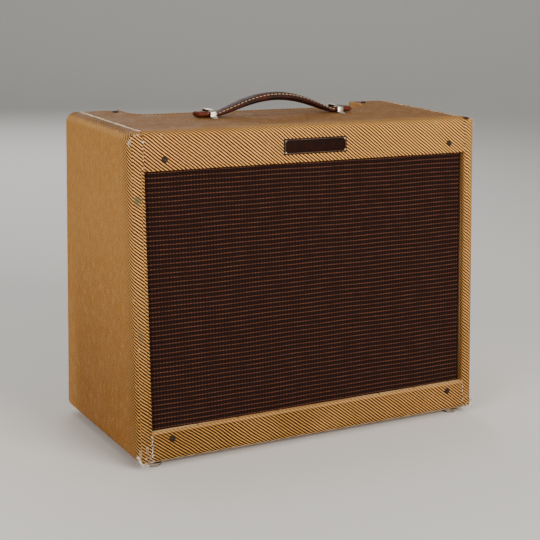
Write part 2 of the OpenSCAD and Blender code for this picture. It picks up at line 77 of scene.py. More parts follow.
L_LO, L_HI = box("tweed_left")
HALF_W = -L_LO.x
Z_LOW, Z_TOP = L_LO.z, L_HI.z
CAB_H = Z_TOP - Z_LOW
Y_REAR = L_HI.y
CAB_DEPTH = 0.238        # at the foot of the slanted front
Y_FRONT = Y_REAR - CAB_DEPTH
CONE_AXIS = Vector(JOINTS["cone_travel"]["axis"]).normalized()
SLANT = atan2(-CONE_AXIS.z, CONE_AXIS.y)
INNER_X = -L_HI.x        # the seam between a side strip and the middle strips
FRONT_R = 0.011          # the rounding of the front edges
EDGE_R = 0.013           # the rounding of the long edges
PANEL_N = Vector(JOINTS["fuse_pull"]["axis"]).normalized()
FRONT_M = shift(0, Y_FRONT, Z_LOW) @ spin(-SLANT, "X")
FRONT_INV = FRONT_M.inverted()
FRONT_OUT = FRONT_M.to_3x3() @ Vector((0, -1, 0))
TURN_IN = 0.0006         # from a rail's edge to the cloth turned in over it
OPEN_LOW = (FRONT_INV @ Vector((0, Y_FRONT, box("front_bottom_rail")[1].z))).z - TURN_IN
TOP_RAIL_LO = box("front_top_rail")[0]
OPEN_HIGH = (FRONT_INV @ Vector((0, TOP_RAIL_LO.y, TOP_RAIL_LO.z))).z + TURN_IN
NOTCH_HALF = 0.181
NOTCH_R = 0.024
NOTCH_Y = Y_REAR - 0.05
GRILLE_RIBS = 55
GRILLE_PITCH = (OPEN_HIGH - OPEN_LOW) / GRILLE_RIBS
KNOBS = ("volume_1", "volume_2", "tone")


def polar(r, a):
    return r * cos(a), r * sin(a)


def shares(steps):
    return [k / steps for k in range(steps + 1)]


def front(x, y, z):
    """Point at x, y inwards, z up the slope of the front."""
    return FRONT_M @ Vector((x, y, z))


def axis_matrix(pos, z_axis):
    """Frame with its z along z_axis and its x along the row's x."""
    z = Vector(z_axis).normalized()
    y = z.cross(Vector((1, 0, 0))).normalized()
    x = y.cross(z)
    m = Matrix((x, y, z)).transposed().to_4x4()
    m.translation = Vector(pos)
    return m


# ---- node trees
class Tree:
    """Short hand for building one node material. base is the colour so far."""

    OUT = {"color": "Base Color", "rough": "Roughness", "metal": "Metallic", "spec": "Specular IOR Level",
           "trans": "Transmission Weight", "ior": "IOR"}

    def __init__(self, name, base=None):
        self.mat = bpy.data.materials.new(name)
        self.mat.use_nodes = True
        self.t = self.mat.node_tree
        self.b = self.t.nodes["Principled BSDF"]
        self.base = base

    def put(self, socket, value):
        if isinstance(value, bpy.types.NodeSocket):
            self.t.links.new(value, socket)
        elif isinstance(value, (tuple, list)) and len(value) == 3 and socket.type == "RGBA":
            socket.default_value = (*value, 1)
        else:
            socket.default_value = value

    def node(self, kind, inputs=(), out=0, **settings):
        """A new node with its settings and its inputs, by index or name. Returns one output."""
        n = self.t.nodes.new("ShaderNode" + kind)
        for key, value in settings.items():
            setattr(n, key, value)
        for key, value in dict(inputs).items():
            self.put(n.inputs[key], value)
        return n.outputs[out]

    def m(self, op, a, b=0, clamp=False):
        return self.node("Math", {0: a, 1: b}, operation=op, use_clamp=clamp)

    def mul(self, first, *factors):
        for factor in factors:
            first = self.m("MULTIPLY", first, factor)
        return first

    def add(self, first, *terms):
        for term in terms:
            first = self.m("ADD", first, term)
        return first

    def sub(self, a, b):
        return self.m("SUBTRACT", a, b)

    def rest(self, a):
        """What is missing to one."""
        return self.sub(1, a)

    def abs(self, a):
        return self.m("ABSOLUTE", a)

    def sine(self, x, period):
        return self.m("SINE", self.mul(x, TAU / period))

    def ramp(self, x, lo, hi, out_lo=0, out_hi=1):
        """Smooth step from lo to hi. lo above hi turns it round."""
        return self.node("MapRange", enumerate((x, lo, hi, out_lo, out_hi)), interpolation_type="SMOOTHSTEP")

    def mix(self, fac, a, b):
        return self.node("Mix", {0: fac, 6: a, 7: b}, 2, data_type="RGBA")

    def over(self, fac, color):
        """Lays a colour over the base."""
        self.base = self.mix(fac, self.base, color)

    def noise(self, vec, scale, detail=4, rough=0.55, dist=0):
        return self.node("TexNoise", {"Vector": vec, "Scale": scale, "Detail": detail, "Roughness": rough,
                                      "Distortion": dist})

    def sway(self, noise, amount):
        """A noise moved to lie around zero."""
        return self.mul(self.sub(noise, 0.5), amount)

    def pos(self):
        return self.node("TexCoord", out="Object")

    def uv(self):
        return self.node("UVMap", uv_map="cloth")

    def scaled(self, vec, s):
        return self.node("VectorMath", {0: vec, 1: s}, operation="MULTIPLY")

    def xyz(self, vec):
        return self.node("SeparateXYZ", {0: vec}).node.outputs

    def bump(self, height, strength, dist):
        n = self.node("Bump", {"Strength": strength, "Distance": dist, "Height": height})
        self.put(self.b.inputs["Normal"], n)

    def out(self, **kw):
        for key, value in dict(kw, color=self.base).items():
            self.put(self.b.inputs[self.OUT[key]], value)
        return self.mat


def srgb(r, g, b):
    """Linear colour from display values 0-255."""
    def lin(c):
        c /= 255
        return c / 12.92 if c <= 0.04045 else ((c + 0.055) / 1.055) ** 2.4
    return (lin(r), lin(g), lin(b))


# ---- materials
# soft grey green marks on the front: x, z, radius in metres, strength
SMUDGES = ((-0.247, 0.33, 0.013, 0.75), (-0.247, 0.168, 0.01, 0.45), (-0.072, 0.392, 0.008, 0.4),
           (-0.05, 0.384, 0.006, 0.3), (0.168, 0.03, 0.006, 0.35))
SMUDGE_SQUEEZE = 1.5     # how much narrower than high a smudge is
STRIPE_PITCH = 3.35      # mm
STRIPE_ANGLE = radians(37.5)
THREAD = 0.84            # mm
GRILLE_DASH = 4.3        # mm, from one bright dash on a rib to the next
GRILLE_CELL = 2.2        # mm


def twill(t, uv):
    """Slanted stripes that wander a little, and the threads that cross inside them."""
    u, v, _ = t.xyz(uv)
    across = t.add(t.mul(u, sin(STRIPE_ANGLE) / STRIPE_PITCH), t.mul(v, cos(STRIPE_ANGLE) / STRIPE_PITCH))
    phase = t.add(across, t.sway(t.noise(uv, 0.018, 3), 1.3), t.sway(t.noise(uv, 0.9, 2), 0.32))
    stripe = t.ramp(t.sine(phase, 1), 0.02, 0.6)
    return stripe, t.add(t.mul(t.sine(v, THREAD), stripe), t.mul(t.sine(u, THREAD), t.rest(stripe)))


def make_tweed():
    """Two-tone diagonal twill, lacquered, with dirt, fading and worn edges, painted shade along the seams and a
    painted highlight below the grille opening.
    """
    t = Tree("tweed")
    uv, p = t.uv(), t.pos()
    x_at, y_at, z_at = t.xyz(p)
    nx, ny, nz = t.xyz(t.node("NewGeometry", out="True Normal"))
    across = t.abs(x_at)
    from_front = t.add(t.mul(t.sub(y_at, Y_FRONT), cos(SLANT)), t.mul(t.sub(z_at, Z_LOW), -sin(SLANT)))
    z_open, z_close = Z_LOW + OPEN_LOW, Z_LOW + OPEN_HIGH
    between = t.ramp(across, INNER_X + 0.001, INNER_X)
    outside = t.rest(t.mul(between, t.ramp(z_at, z_open - 0.006, z_open - 0.005),
                           t.ramp(z_at, z_close + 0.006, z_close + 0.005)))
    stripe, weave = twill(t, uv)
    mid = t.noise(p, 46, 5, 0.65)
    speck = t.noise(uv, 0.75, 4, 0.7)
    # the two tones, browner towards the floor, with stains
    rear = t.ramp(y_at, Y_REAR - 0.05, Y_REAR - 0.01)
    low = t.mul(t.ramp(z_at, 0.33, 0.03), t.rest(t.mul(rear, 0.75)))
    light = t.mix(low, srgb(255, 194, 104), srgb(192, 140, 62))
    dark = t.mix(low, srgb(52, 11, 0), srgb(32, 7, 0))
    light = t.mix(t.ramp(t.noise(p, 7, 5, 0.6), 0.35, 0.7, 0, 0.7), light, srgb(236, 174, 94))
    t.base = t.mix(stripe, dark, light)
    t.over(t.ramp(speck, 0.55, 0.78, 0, 0.3), srgb(110, 64, 24))
    t.over(t.ramp(mid, 0.6, 0.8, 0, 0.25), srgb(110, 66, 26))
    t.over(t.ramp(weave, -1, -0.2, 0.28, 0), srgb(80, 50, 24))
    # darker on upward faces, a paler band along the upper shoulders, and a plainer, mottled look away from the
    # front
    plain = t.mul(t.ramp(from_front, 0.006, 0.036), t.rest(t.ramp(t.abs(ny), 0.5, 0.9)), outside)
    up = t.mul(t.ramp(nz, 0.55, 0.98), t.ramp(from_front, 0.008, 0.034, 0.25, 1), outside)
    shoulder = t.mul(t.ramp(nz, 0.05, 0.45), t.ramp(nz, 0.98, 0.6))
    t.over(t.mul(plain, t.sub(0.62, t.mul(up, 0.22))), t.mix(low, srgb(214, 152, 76), srgb(166, 108, 42)))
    t.over(t.mul(plain, shoulder, 0.45), srgb(226, 176, 108))
    t.over(t.mul(up, 0.68), srgb(90, 54, 26))
    grain = t.noise(t.scaled(uv, (0.35, 1.6, 1)), 1, 3, 0.8)
    t.over(t.mul(plain, t.ramp(grain, 0.36, 0.62, 0.5, 0)), srgb(92, 52, 18))
    t.over(t.mul(plain, t.ramp(grain, 0.53, 0.7, 0, 0.5)), srgb(246, 194, 118))
    mottle = t.noise(t.scaled(p, (1, 1, 0.6)), 150, 4, 0.7)
    t.over(t.mul(plain, t.ramp(mottle, 0.5, 0.36, 0, 0.13)), srgb(110, 62, 22))
    t.over(t.mul(plain, t.ramp(mottle, 0.52, 0.66, 0, 0.13)), srgb(244, 196, 126))
    # painted shade: a dark line along the butted seams, where shade falls in the crease
    crease = t.ramp(t.abs(t.sub(across, INNER_X)), 0.0017, 0.0005, 0, 0.5)
    t.over(t.mul(crease, t.ramp(ny, -0.5, -0.8), outside), srgb(58, 20, 4))
    # painted highlight: a pale band on the front just below the grille opening, standing in for the light falling
    # on the cloth's lip from above
    wear_and_highlight = t.mul(t.ramp(z_at, z_open - 0.0042, z_open - 0.0008, 0, 0.3),
                   t.ramp(z_at, z_open + 0.0035, z_open + 0.003), between, t.ramp(from_front, 0.012, 0.01))
    t.over(wear_and_highlight, srgb(224, 168, 108))
    # grey green smudges, few and soft
    cloud = t.sway(t.noise(p, 90, 3, 0.6), 0.03)
    squeezed = t.scaled(p, (SMUDGE_SQUEEZE, 0, 1))
    facing_front = t.ramp(ny, -0.7, -0.95)
    for x, z, radius, strength in SMUDGES:
        far = t.node("VectorMath", {0: squeezed, 1: (SMUDGE_SQUEEZE * x, 0, z)}, "Value", operation="DISTANCE")
        spot = t.ramp(t.add(far, cloud), radius, 0.1 * radius, 0, strength)
        t.over(t.mul(spot, facing_front), srgb(74, 76, 60))
    # worn, pale fibres along rounded edges, and bare corners near the floor
    facing = t.m("MAXIMUM", t.m("MAXIMUM", t.abs(nx), t.abs(nz)), t.abs(ny))
    scuff = t.noise(p, 130, 5, 0.7)
    t.over(t.mul(t.ramp(facing, 0.985, 0.8), t.ramp(scuff, 0.58, 0.7), 0.4), srgb(240, 204, 150))
    corner = t.mul(t.ramp(facing, 0.86, 0.68), t.ramp(z_at, 0.03, 0.016))
    t.over(t.mul(corner, t.ramp(scuff, 0.4, 0.54, 0.1, 0.85)), srgb(196, 184, 166))
    t.bump(t.add(t.mul(stripe, 0.7), t.mul(weave, 0.3), t.mul(speck, 0.8)), 0.55, 0.0005)
    return t.out(rough=t.ramp(mid, 0.3, 0.7, 0.56, 0.78), spec=0.15)


def make_fray():
    t = Tree("frayed_thread", srgb(196, 156, 108))
    p = t.pos()
    t.over(t.ramp(t.noise(p, 300, 3), 0.4, 0.56), srgb(255, 250, 236))
    t.bump(t.noise(p, 1500, 2), 0.4, 0.0002)
    return t.out(rough=0.9, spec=0.2)


def make_grille():
    """Dark maroon cloth with thin, slightly broken brown ribs."""
    t = Tree("grille_cloth")
    uv = t.uv()
    u, v, _ = t.xyz(uv)
    pitch = GRILLE_PITCH / MM
    off = t.abs(t.sub(t.m("FRACT", t.m("DIVIDE", v, pitch)), 0.5))
    stitch = t.sine(t.add(u, t.mul(t.noise(uv, 0.12), 1.2)), GRILLE_DASH)
    dash = t.ramp(stitch, -0.6, 0.5, 0.3, 1)
    patch = t.ramp(t.noise(uv, 0.05, 4, 0.6), 0.3, 0.7, 0.55, 1.15)
    rib = t.m("MULTIPLY", t.mul(t.ramp(off, 0.15, 0.06), dash), patch, clamp=True)
    cell = t.ramp(t.mul(t.sine(u, GRILLE_CELL), t.sine(v, pitch / 2)), -0.4, 0.8)
    t.base = t.mix(cell, srgb(13, 4, 3), srgb(40, 17, 11))
    t.over(t.ramp(stitch, 0.3, 0.95, 0, 0.34), srgb(54, 26, 18))
    t.over(t.ramp(t.noise(uv, 0.9, 3), 0.4, 0.7, 0, 0.5), srgb(20, 8, 6))
    t.over(rib, srgb(104, 64, 46))
    t.bump(t.add(rib, t.mul(cell, 0.35)), 0.6, 0.0006)
    return t.out(rough=0.85, spec=0.12)


def make_wood(name, light, dark, along, ring=42):
    """Pine or ply: bands and fibres stretched along one axis, and stains."""
    t = Tree(name, light)
    stretch = [1, 1, 1]
    stretch[along] = 0.06
    p = t.scaled(t.pos(), stretch)
    band = t.m("SINE", t.mul(t.noise(p, 9, 3, 0.5, 0.4), ring))
    grain = t.noise(p, 420, 3, 0.6)
    t.over(t.ramp(band, -0.3, 0.95), dark)
    t.over(t.ramp(grain, 0.42, 0.68, 0, 0.45), dark)
    t.over(t.ramp(t.noise(t.pos(), 9, 4), 0.5, 0.8, 0, 0.4), [c * 0.45 for c in dark])
    t.bump(t.add(t.mul(band, 0.2), grain), 0.35, 0.0004)
    return t.out(rough=t.ramp(grain, 0.3, 0.7, 0.55, 0.8), spec=0.25)


def make_metal(name, color, rough, tarnish, scratch=0.25, amount=0.4):
    """Plated metal with tarnish clouds and fine scratches."""
    t = Tree(name, color)
    p = t.pos()
    cloud = t.noise(p, 60, 5, 0.65)
    line = t.noise(t.scaled(p, (1, 9, 4)), 260, 3, 0.7)
    t.over(t.ramp(cloud, 0.48, 0.72, 0, amount), tarnish)
    t.over(t.ramp(line, 0.62, 0.72, 0, 0.2), tarnish)
    t.bump(line, scratch, 0.00015)
    return t.out(metal=1, rough=t.ramp(cloud, 0.3, 0.75, rough, min(rough + 0.28, 0.9)))


def make_paint(name, color, rough, grain, bump, wear):
    """Paint or moulded plastic: fine orange peel and dust."""
    t = Tree(name, color)
    p = t.pos()
    dust = t.noise(p, 34, 5, 0.7)
    t.over(t.ramp(dust, 0.5, 0.85, 0, 0.28), wear)
    t.bump(t.noise(p, grain, 2), bump, 0.0002)
    return t.out(rough=t.ramp(dust, 0.35, 0.75, rough, min(rough + 0.2, 1)))


def make_leather():
    """Dark grained leather, creased across and redder towards its ends."""
    t = Tree("strap_leather", srgb(36, 12, 5))
    p = t.pos()
    cells = t.node("TexVoronoi", {"Vector": p, "Scale": 620}, "Distance", feature="DISTANCE_TO_EDGE")
    grain = t.ramp(cells, 0, 0.14)
    cloud = t.noise(p, 55, 5, 0.65)
    crease = t.noise(t.scaled(p, (1, 0.12, 1)), 190, 3, 0.6)
    t.over(t.ramp(cloud, 0.35, 0.68), srgb(74, 28, 12))
    t.over(t.ramp(crease, 0.58, 0.7, 0, 0.6), srgb(26, 8, 4))
    t.over(t.mul(t.ramp(t.abs(t.xyz(p)[0]), 0.075, 0.105), 0.55), srgb(120, 46, 16))
    t.over(t.ramp(grain, 0.4, 0, 0, 0.35), srgb(24, 8, 4))
    t.bump(t.add(grain, t.mul(crease, 1.2)), 0.45, 0.0003)
    return t.out(rough=t.ramp(cloud, 0.3, 0.7, 0.46, 0.66), spec=0.22)


def make_glass(name, tint, rough=0.02):
    """Clear or tinted glass, a little smoked."""
    t = Tree(name, tint)
    smoke = t.noise(t.pos(), 70, 3)
    t.over(t.ramp(smoke, 0.45, 0.8, 0, 0.35), [c * 0.7 for c in tint])
    t.bump(t.noise(t.pos(), 30, 2), 0.05, 0.0004)
    return t.out(rough=t.ramp(smoke, 0.4, 0.8, rough, rough + 0.08), trans=1, ior=1.45)


def make_paper(name, color, dark, scale=520):
    """Felted paper, fibre board or braid."""
    t = Tree(name, dark)
    p = t.pos()
    felt = t.noise(p, scale, 4, 0.7)
    t.over(t.ramp(felt, 0.35, 0.68), color)
    t.over(t.ramp(t.noise(p, 22, 4), 0.5, 0.8, 0, 0.35), [c * 1.8 for c in color])
    t.bump(felt, 0.5, 0.0004)
    return t.out(rough=0.88, spec=0.2)


def make_nameplate():
    """Brown lacquered plate, brushed along x."""
    t = Tree("nameplate_metal", srgb(22, 6, 3))
    p = t.pos()
    cloud = t.noise(p, 90, 5, 0.7)
    t.over(t.ramp(cloud, 0.4, 0.7), srgb(42, 15, 7))
    t.bump(t.noise(t.scaled(p, (0.08, 1, 1)), 1200, 2), 0.25, 0.0001)
    return t.out(metal=0, spec=0.06, rough=t.ramp(cloud, 0.3, 0.7, 0.5, 0.7))


TWEED = make_tweed()
FRAY = make_fray()
GRILLE = make_grille()
PINE = (srgb(228, 192, 136), srgb(196, 148, 92))
PINE_X = make_wood("pine_across", *PINE, 0)
PINE_Z = make_wood("pine_upright", *PINE, 2)
PLY = make_wood("baffle_ply", srgb(176, 136, 92), srgb(136, 98, 60), 0, 60)
NICKEL = make_metal("nickel_plate", (0.46, 0.41, 0.34), 0.2, (0.1, 0.075, 0.05), 0.4, 0.85)
CHROME = make_metal("panel_chrome", (0.66, 0.67, 0.68), 0.2, (0.4, 0.39, 0.37), 0.08, 0.18)
ZINC = make_metal("zinc_plate", (0.56, 0.56, 0.54), 0.38, (0.3, 0.28, 0.24))
DARK_STEEL = make_metal("dark_screw", (0.045, 0.03, 0.024), 0.42, (0.1, 0.06, 0.035))
LEATHER = make_leather()
STITCH = make_paint("waxed_thread", srgb(196, 166, 132), 0.7, 1500, 0.5, srgb(110, 80, 52))
PLATE = make_nameplate()
PLATE_EDGE = make_metal("nameplate_rim", (0.13, 0.085, 0.06), 0.4, (0.05, 0.03, 0.02))
KNOB = make_paint("knob_phenolic", (0.018, 0.017, 0.016), 0.22, 500, 0.06, (0.07, 0.065, 0.06))
PHENOLIC = make_paint("brown_phenolic", (0.045, 0.025, 0.016), 0.35, 700, 0.15, (0.1, 0.075, 0.05))
BLACK = make_paint("black_paint", (0.02, 0.02, 0.021), 0.4, 800, 0.3, (0.12, 0.11, 0.095))
BASKET = make_paint("basket_paint", (0.17, 0.175, 0.18), 0.42, 800, 0.3, (0.3, 0.27, 0.22))
MAGNET = make_paint("magnet_paint", (0.09, 0.1, 0.13), 0.36, 700, 0.25, (0.26, 0.23, 0.18))
WHITE_INK = make_paint("white_marking", (0.82, 0.82, 0.78), 0.55, 900, 0.1, (0.6, 0.58, 0.5))
BLACK_INK = make_paint("black_marking", (0.02, 0.02, 0.02), 0.5, 900, 0.1, (0.1, 0.1, 0.1))
CONE = make_paper("cone_paper", (0.045, 0.04, 0.036), (0.016, 0.014, 0.013))
SPIDER = make_paper("spider_cloth", srgb(176, 128, 60), srgb(110, 74, 30), 900)
COPPER = make_metal("copper_wire", (0.72, 0.34, 0.18), 0.3, (0.3, 0.14, 0.07))
FIBRE = make_paper("waxed_fibre", (0.05, 0.045, 0.04), (0.02, 0.018, 0.016), 300)
WAX = make_paint("waxed_capacitor", srgb(222, 178, 60), 0.42, 600, 0.2, srgb(150, 110, 50))
GLASS = make_glass("tube_glass", (0.93, 0.95, 0.94))
JEWEL = make_glass("red_jewel", (0.85, 0.02, 0.02), 0.04)
ELECTRODE = make_metal("tube_plate", (0.16, 0.16, 0.17), 0.45, (0.08, 0.08, 0.08))
GETTER = make_metal("getter_flash", (0.62, 0.62, 0.66), 0.12, (0.2, 0.2, 0.22), 0.05)
CORD = make_paint("cord_rubber", srgb(74, 50, 34), 0.55, 600, 0.5, srgb(128, 100, 74))
BRAID = make_paper("cloth_braid", srgb(120, 104, 78), srgb(48, 38, 28), 1200)

# ---- mesh helpers
CLOTH_THICK = 0.0004


def link(name, data):
    obj = bpy.data.objects.new(name, data)
    bpy.context.scene.collection.objects.link(obj)
    return obj


def add(name, shape, mat, body="amp", smooth=True, uv=None, replaces=None):
    """A new piece from (verts, faces). uv, if given, holds one (u, v) per vertex."""
    verts, faces = shape
    mesh = bpy.data.meshes.new(name)
    mesh.from_pydata([tuple(v) for v in verts], [], faces)
    mesh.validate()
    if smooth:
        mesh.shade_smooth()
    if uv:
        layer = mesh.uv_layers.new(name="cloth")
        for loop in mesh.loops:
            layer.data[loop.index].uv = uv[loop.vertex_index]
    mesh.materials.append(mat)
    obj = link(name, mesh)
    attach(obj, body)
    if replaces:
        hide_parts(replaces)
    return obj


def merge(parts):
    """Joins several (verts, faces) into one."""
    verts, faces = [], []
    for vs, fs in parts:
        base = len(verts)
        verts += list(vs)
        faces += [[i + base for i in f] for f in fs]
    return verts, faces


def grid(rows, cols, ring=False, loop=False, caps=False, flip=False):
    """Quads between rows of cols points. ring closes each row, loop joins the last row to the first,
    caps closes both ends and flip turns the faces over."""
    faces = []
    for i in range(rows if loop else rows - 1):
        j = (i + 1) % rows
        for k in range(cols if ring else cols - 1):
            n = (k + 1) % cols
            faces.append([i * cols + k, i * cols + n, j * cols + n, j * cols + k])
    ends = [list(range(cols))[::-1], [(rows - 1) * cols + k for k in range(cols)]] if caps else []
    if flip:
        faces = [[face[0], *face[:0:-1]] for face in faces]
        ends = [end[::-1] for end in ends]
    return faces + ends


def lathe(profile, matrix, seg):
    """Revolves (r, z) points about the matrix's z axis."""
    verts, faces, rings = [], [], []
    for r, z in profile:
        if r < 1e-6:
            rings.append([len(verts)])
            verts.append(matrix @ Vector((0, 0, z)))
        else:
            rings.append(list(range(len(verts), len(verts) + seg)))
            verts += [matrix @ Vector((*polar(r, TAU * k / seg), z)) for k in range(seg)]
    for a, b in zip(rings, rings[1:]):
        if len(a) == len(b) == 1:
            continue
        for k in range(seg):
            n = (k + 1) % seg
            if len(a) == 1:
                faces.append([a[0], b[n], b[k]])
            elif len(b) == 1:
                faces.append([a[k], a[n], b[0]])
            else:
                faces.append([a[k], a[n], b[n], b[k]])
    return verts, faces


def tube(path, radius, sides, closed=False, taper=None):
    """A round rod along points."""
    verts = []
    count = len(path)
    side = None
    for i, p in enumerate(path):
        a = path[(i - 1) % count] if (i or closed) else path[0]
        b = path[(i + 1) % count] if (i < count - 1 or closed) else path[-1]
        d = (b - a).normalized()
        if side is None:
            side = d.orthogonal().normalized()
        side = (side - d * side.dot(d)).normalized()
        up = d.cross(side)
        r = radius * (taper(i / (count - 1)) if taper else 1)
        for k in range(sides):
            t = TAU * k / sides
            verts.append(p + side * cos(t) * r + up * sin(t) * r)
    return verts, grid(count, sides, ring=True, loop=closed, caps=not closed)


def spline(points, steps):
    """A smooth curve through the points, steps to each stretch, without the last point."""
    curve = []
    for i in range(len(points) - 1):
        p0, p1 = points[max(i - 1, 0)], points[i]
        p2, p3 = points[i + 1], points[min(i + 2, len(points) - 1)]
        for q in range(steps):
            f = q / steps
            curve.append(0.5 * ((2 * p1) + (p2 - p0) * f + (2 * p0 - 5 * p1 + 4 * p2 - p3) * f * f
                                + (3 * p1 - p0 - 3 * p2 + p3) * f ** 3))
    return curve


def block(matrix, size, bevel):
    """A bevelled box centred in the matrix."""
    bm = bmesh.new()
    bmesh.ops.create_cube(bm, size=1)
    bmesh.ops.scale(bm, vec=size, verts=bm.verts)
    bmesh.ops.bevel(bm, geom=bm.edges[:], offset=bevel, segments=3, affect="EDGES", profile=0.5)
    bm.transform(matrix)
    bm.verts.index_update()
    verts = [v.co.copy() for v in bm.verts]
    faces = [[v.index for v in f.verts] for f in bm.faces]
    bm.free()
    return verts, faces


def soften(obj, width, segments=2):
    """Rounds the hard edges of a piece or a CAD node with a modifier."""
    mod = obj.modifiers.new("edge", "BEVEL")
    mod.width = width
    mod.segments = segments
    mod.limit_method = "ANGLE"
    mod.angle_limit = 0.6


def thicken(obj, thickness=CLOTH_THICK, offset=0):
    mod = obj.modifiers.new("thick", "SOLIDIFY")
    mod.thickness = thickness
    mod.offset = offset


def paint(mat, bevel, *nodes):
    """Gives carried-over CAD nodes their material, and a bevel if it isn't 0."""
    for node in nodes:
        obj = NODES[node]
        obj.data.materials.clear()
        obj.data.materials.append(mat)
        if bevel:
            soften(obj, bevel)


# ---- cloth coverings
ENDWISE = 0.75           # a face is a rear edge when its normal's y is above this
TINY = 1e-9


def cloth_copy(node, unwrap):
    """A copy of a covering's shape with cloth coordinates, unwrapped face by face."""
    name = "cloth_" + node.replace("tweed_", "")
    mesh = NODES[node].data.copy()
    mesh.name = name
    while mesh.uv_layers:
        mesh.uv_layers.remove(mesh.uv_layers[0])
    layer = mesh.uv_layers.new(name="cloth")
    for poly in mesh.polygons:
        for li in poly.loop_indices:
            layer.data[li].uv = unwrap(mesh.vertices[mesh.loops[li].vertex_index].co, poly.normal)
    mesh.materials.clear()
    mesh.materials.append(TWEED)
    obj = link(name, mesh)
    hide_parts(node)
    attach(obj, "amp")
    return obj


def side_uv(co, normal):
    """Round the front corner to the side, and over the long edges on to the top and bottom strips."""
    s = 1 if co.x > 0 else -1
    x = abs(co.x)
    local = FRONT_INV @ co
    flat = HALF_W - FRONT_R
    if local.y < FRONT_R:
        turn = atan2(max(0, x - flat), max(TINY, FRONT_R - local.y))
        u = min(x, flat) + FRONT_R * turn
    else:
        u = flat + FRONT_R * pi / 2 + local.y - FRONT_R
    if normal.y > ENDWISE:
        u += HALF_W - x
    v = co.z
    over = HALF_W - EDGE_R
    if abs(normal.y) < ENDWISE:
        for end, sign in ((Z_TOP, 1), (Z_LOW, -1)):
            dz = sign * (co.z - (end - sign * EDGE_R))
            if dz > 0:
                turn = atan2(dz, max(TINY, x - over)) if x > over else pi / 2
                v = end - sign * EDGE_R + sign * (EDGE_R * turn + max(0, over - x))
    return (s * u / MM, v / MM)


def cross_uv(co, normal):
    """Up the front, round the front edge and back over the top, or the same below."""
    local = FRONT_INV @ co
    v = local.z
    for end, sign in ((CAB_H, 1), (0, -1)):
        dz = sign * (local.z - (end - sign * FRONT_R))
        if dz > 0:
            if local.y < FRONT_R:
                turn = atan2(dz, max(TINY, FRONT_R - local.y))
                v = end - sign * FRONT_R + sign * FRONT_R * turn
            else:
                v = end - sign * FRONT_R + sign * (FRONT_R * pi / 2 + local.y - FRONT_R)
            if normal.y > ENDWISE:
                v += CAB_H - local.z if sign > 0 else -local.z
    return (co.x / MM, (v + Z_LOW) / MM)


def back_uv(co, normal):
    """Flat on the back, and on over the upper and lower edges."""
    return (-co.x / MM, (co.z - co.y if abs(normal.z) > 0.7 else co.z) / MM)


for node in ("tweed_left", "tweed_right"):
    cloth_copy(node, side_uv)
for node in ("tweed_top", "tweed_bottom"):
    cloth_copy(node, cross_uv)
for node in ("upper_back_panel", "lower_back_panel"):
    soften(cloth_copy(node, back_uv), 0.0012, 3)


def opening_lip():
    """Cloth turned into the grille opening, with a soft, slightly wavy lip at the front."""
    profile = [(-0.0034, 0.00002), (-0.0016, -0.00042), (-0.0004, -0.0003), (0.0003, 0.0003), (0.0007, 0.0012),
               (0.0007, 0.0065)]    # inwards from the opening's edge, depth
    steps = 90
    corners = [(-INNER_X, OPEN_LOW), (INNER_X, OPEN_LOW), (INNER_X, OPEN_HIGH), (-INNER_X, OPEN_HIGH)]
    inward = [(1, 1), (-1, 1), (-1, -1), (1, -1)]
    for i, (a, b) in enumerate(zip(corners, corners[1:] + corners[:1])):
        ia, ib = inward[i], inward[(i + 1) % 4]
        along_x = i % 2 == 0
        verts, uv = [], []
        for k in range(steps + 1):
            f = k / steps
            wave = 0.00008 * sin(k * 1.7 + i) + 0.00005 * sin(k * 0.61)
            for off, depth in profile:
                x0, z0 = a[0] + ia[0] * off, a[1] + ia[1] * off
                x = x0 + (b[0] + ib[0] * off - x0) * f
                z = z0 + (b[1] + ib[1] * off - z0) * f
                wavy = wave * (off > -0.001)
                bend = max(0, depth)
                if along_x:
                    z += wavy * ia[1]
                    uv.append((x / MM, (Z_LOW + z + ia[1] * bend) / MM))
                else:
                    x += wavy * ia[0]
                    uv.append(((x + ia[0] * bend) / MM, (Z_LOW + z) / MM))
                verts.append(front(x, depth, z))
        faces = grid(steps + 1, len(profile), flip=True)
        thicken(add("cloth_lip_%d" % i, (verts, faces), TWEED, uv=uv))


def notch_lining():
    """Cloth turned down inside the notch for the control panel."""
    profile = [(0.0034, 0.00012), (0.0016, 0.00038), (0.0004, 0.0002), (-0.0002, -0.0005), (-0.0005, -0.0016),
               (-0.0005, -0.0172)]    # outwards from the notch's edge, height
    arc_steps = 16
    path = [Vector((NOTCH_HALF, Y_REAR - 0.001, 0))]
    for sx, start in ((1, 0), (-1, pi / 2)):
        for k in range(arc_steps + 1):
            a = -(start + k * pi / 2 / arc_steps)
            path.append(Vector((sx * (NOTCH_HALF - NOTCH_R) + NOTCH_R * cos(a),
                                NOTCH_Y + NOTCH_R + NOTCH_R * sin(a), 0)))
    path.append(Vector((-NOTCH_HALF, Y_REAR - 0.001, 0)))
    verts, uv = [], []
    run = 0
    for i, p in enumerate(path):
        a = path[max(i - 1, 0)]
        d = (path[min(i + 1, len(path) - 1)] - a).normalized()
        outward = Vector((-d.y, d.x, 0))
        if outward.dot(p - Vector((0, Y_REAR, 0))) < 0:
            outward = -outward
        run += (p - a).length
        for off, dz in profile:
            q = p + outward * off
            verts.append(Vector((q.x, q.y, Z_TOP + dz)))
            uv.append((run / MM, (Z_TOP + dz + off) / MM))
    faces = grid(len(path), len(profile))
    thicken(add("cloth_notch_lining", (verts, faces), TWEED, uv=uv))


opening_lip()
notch_lining()

# ---- seams and frayed threads


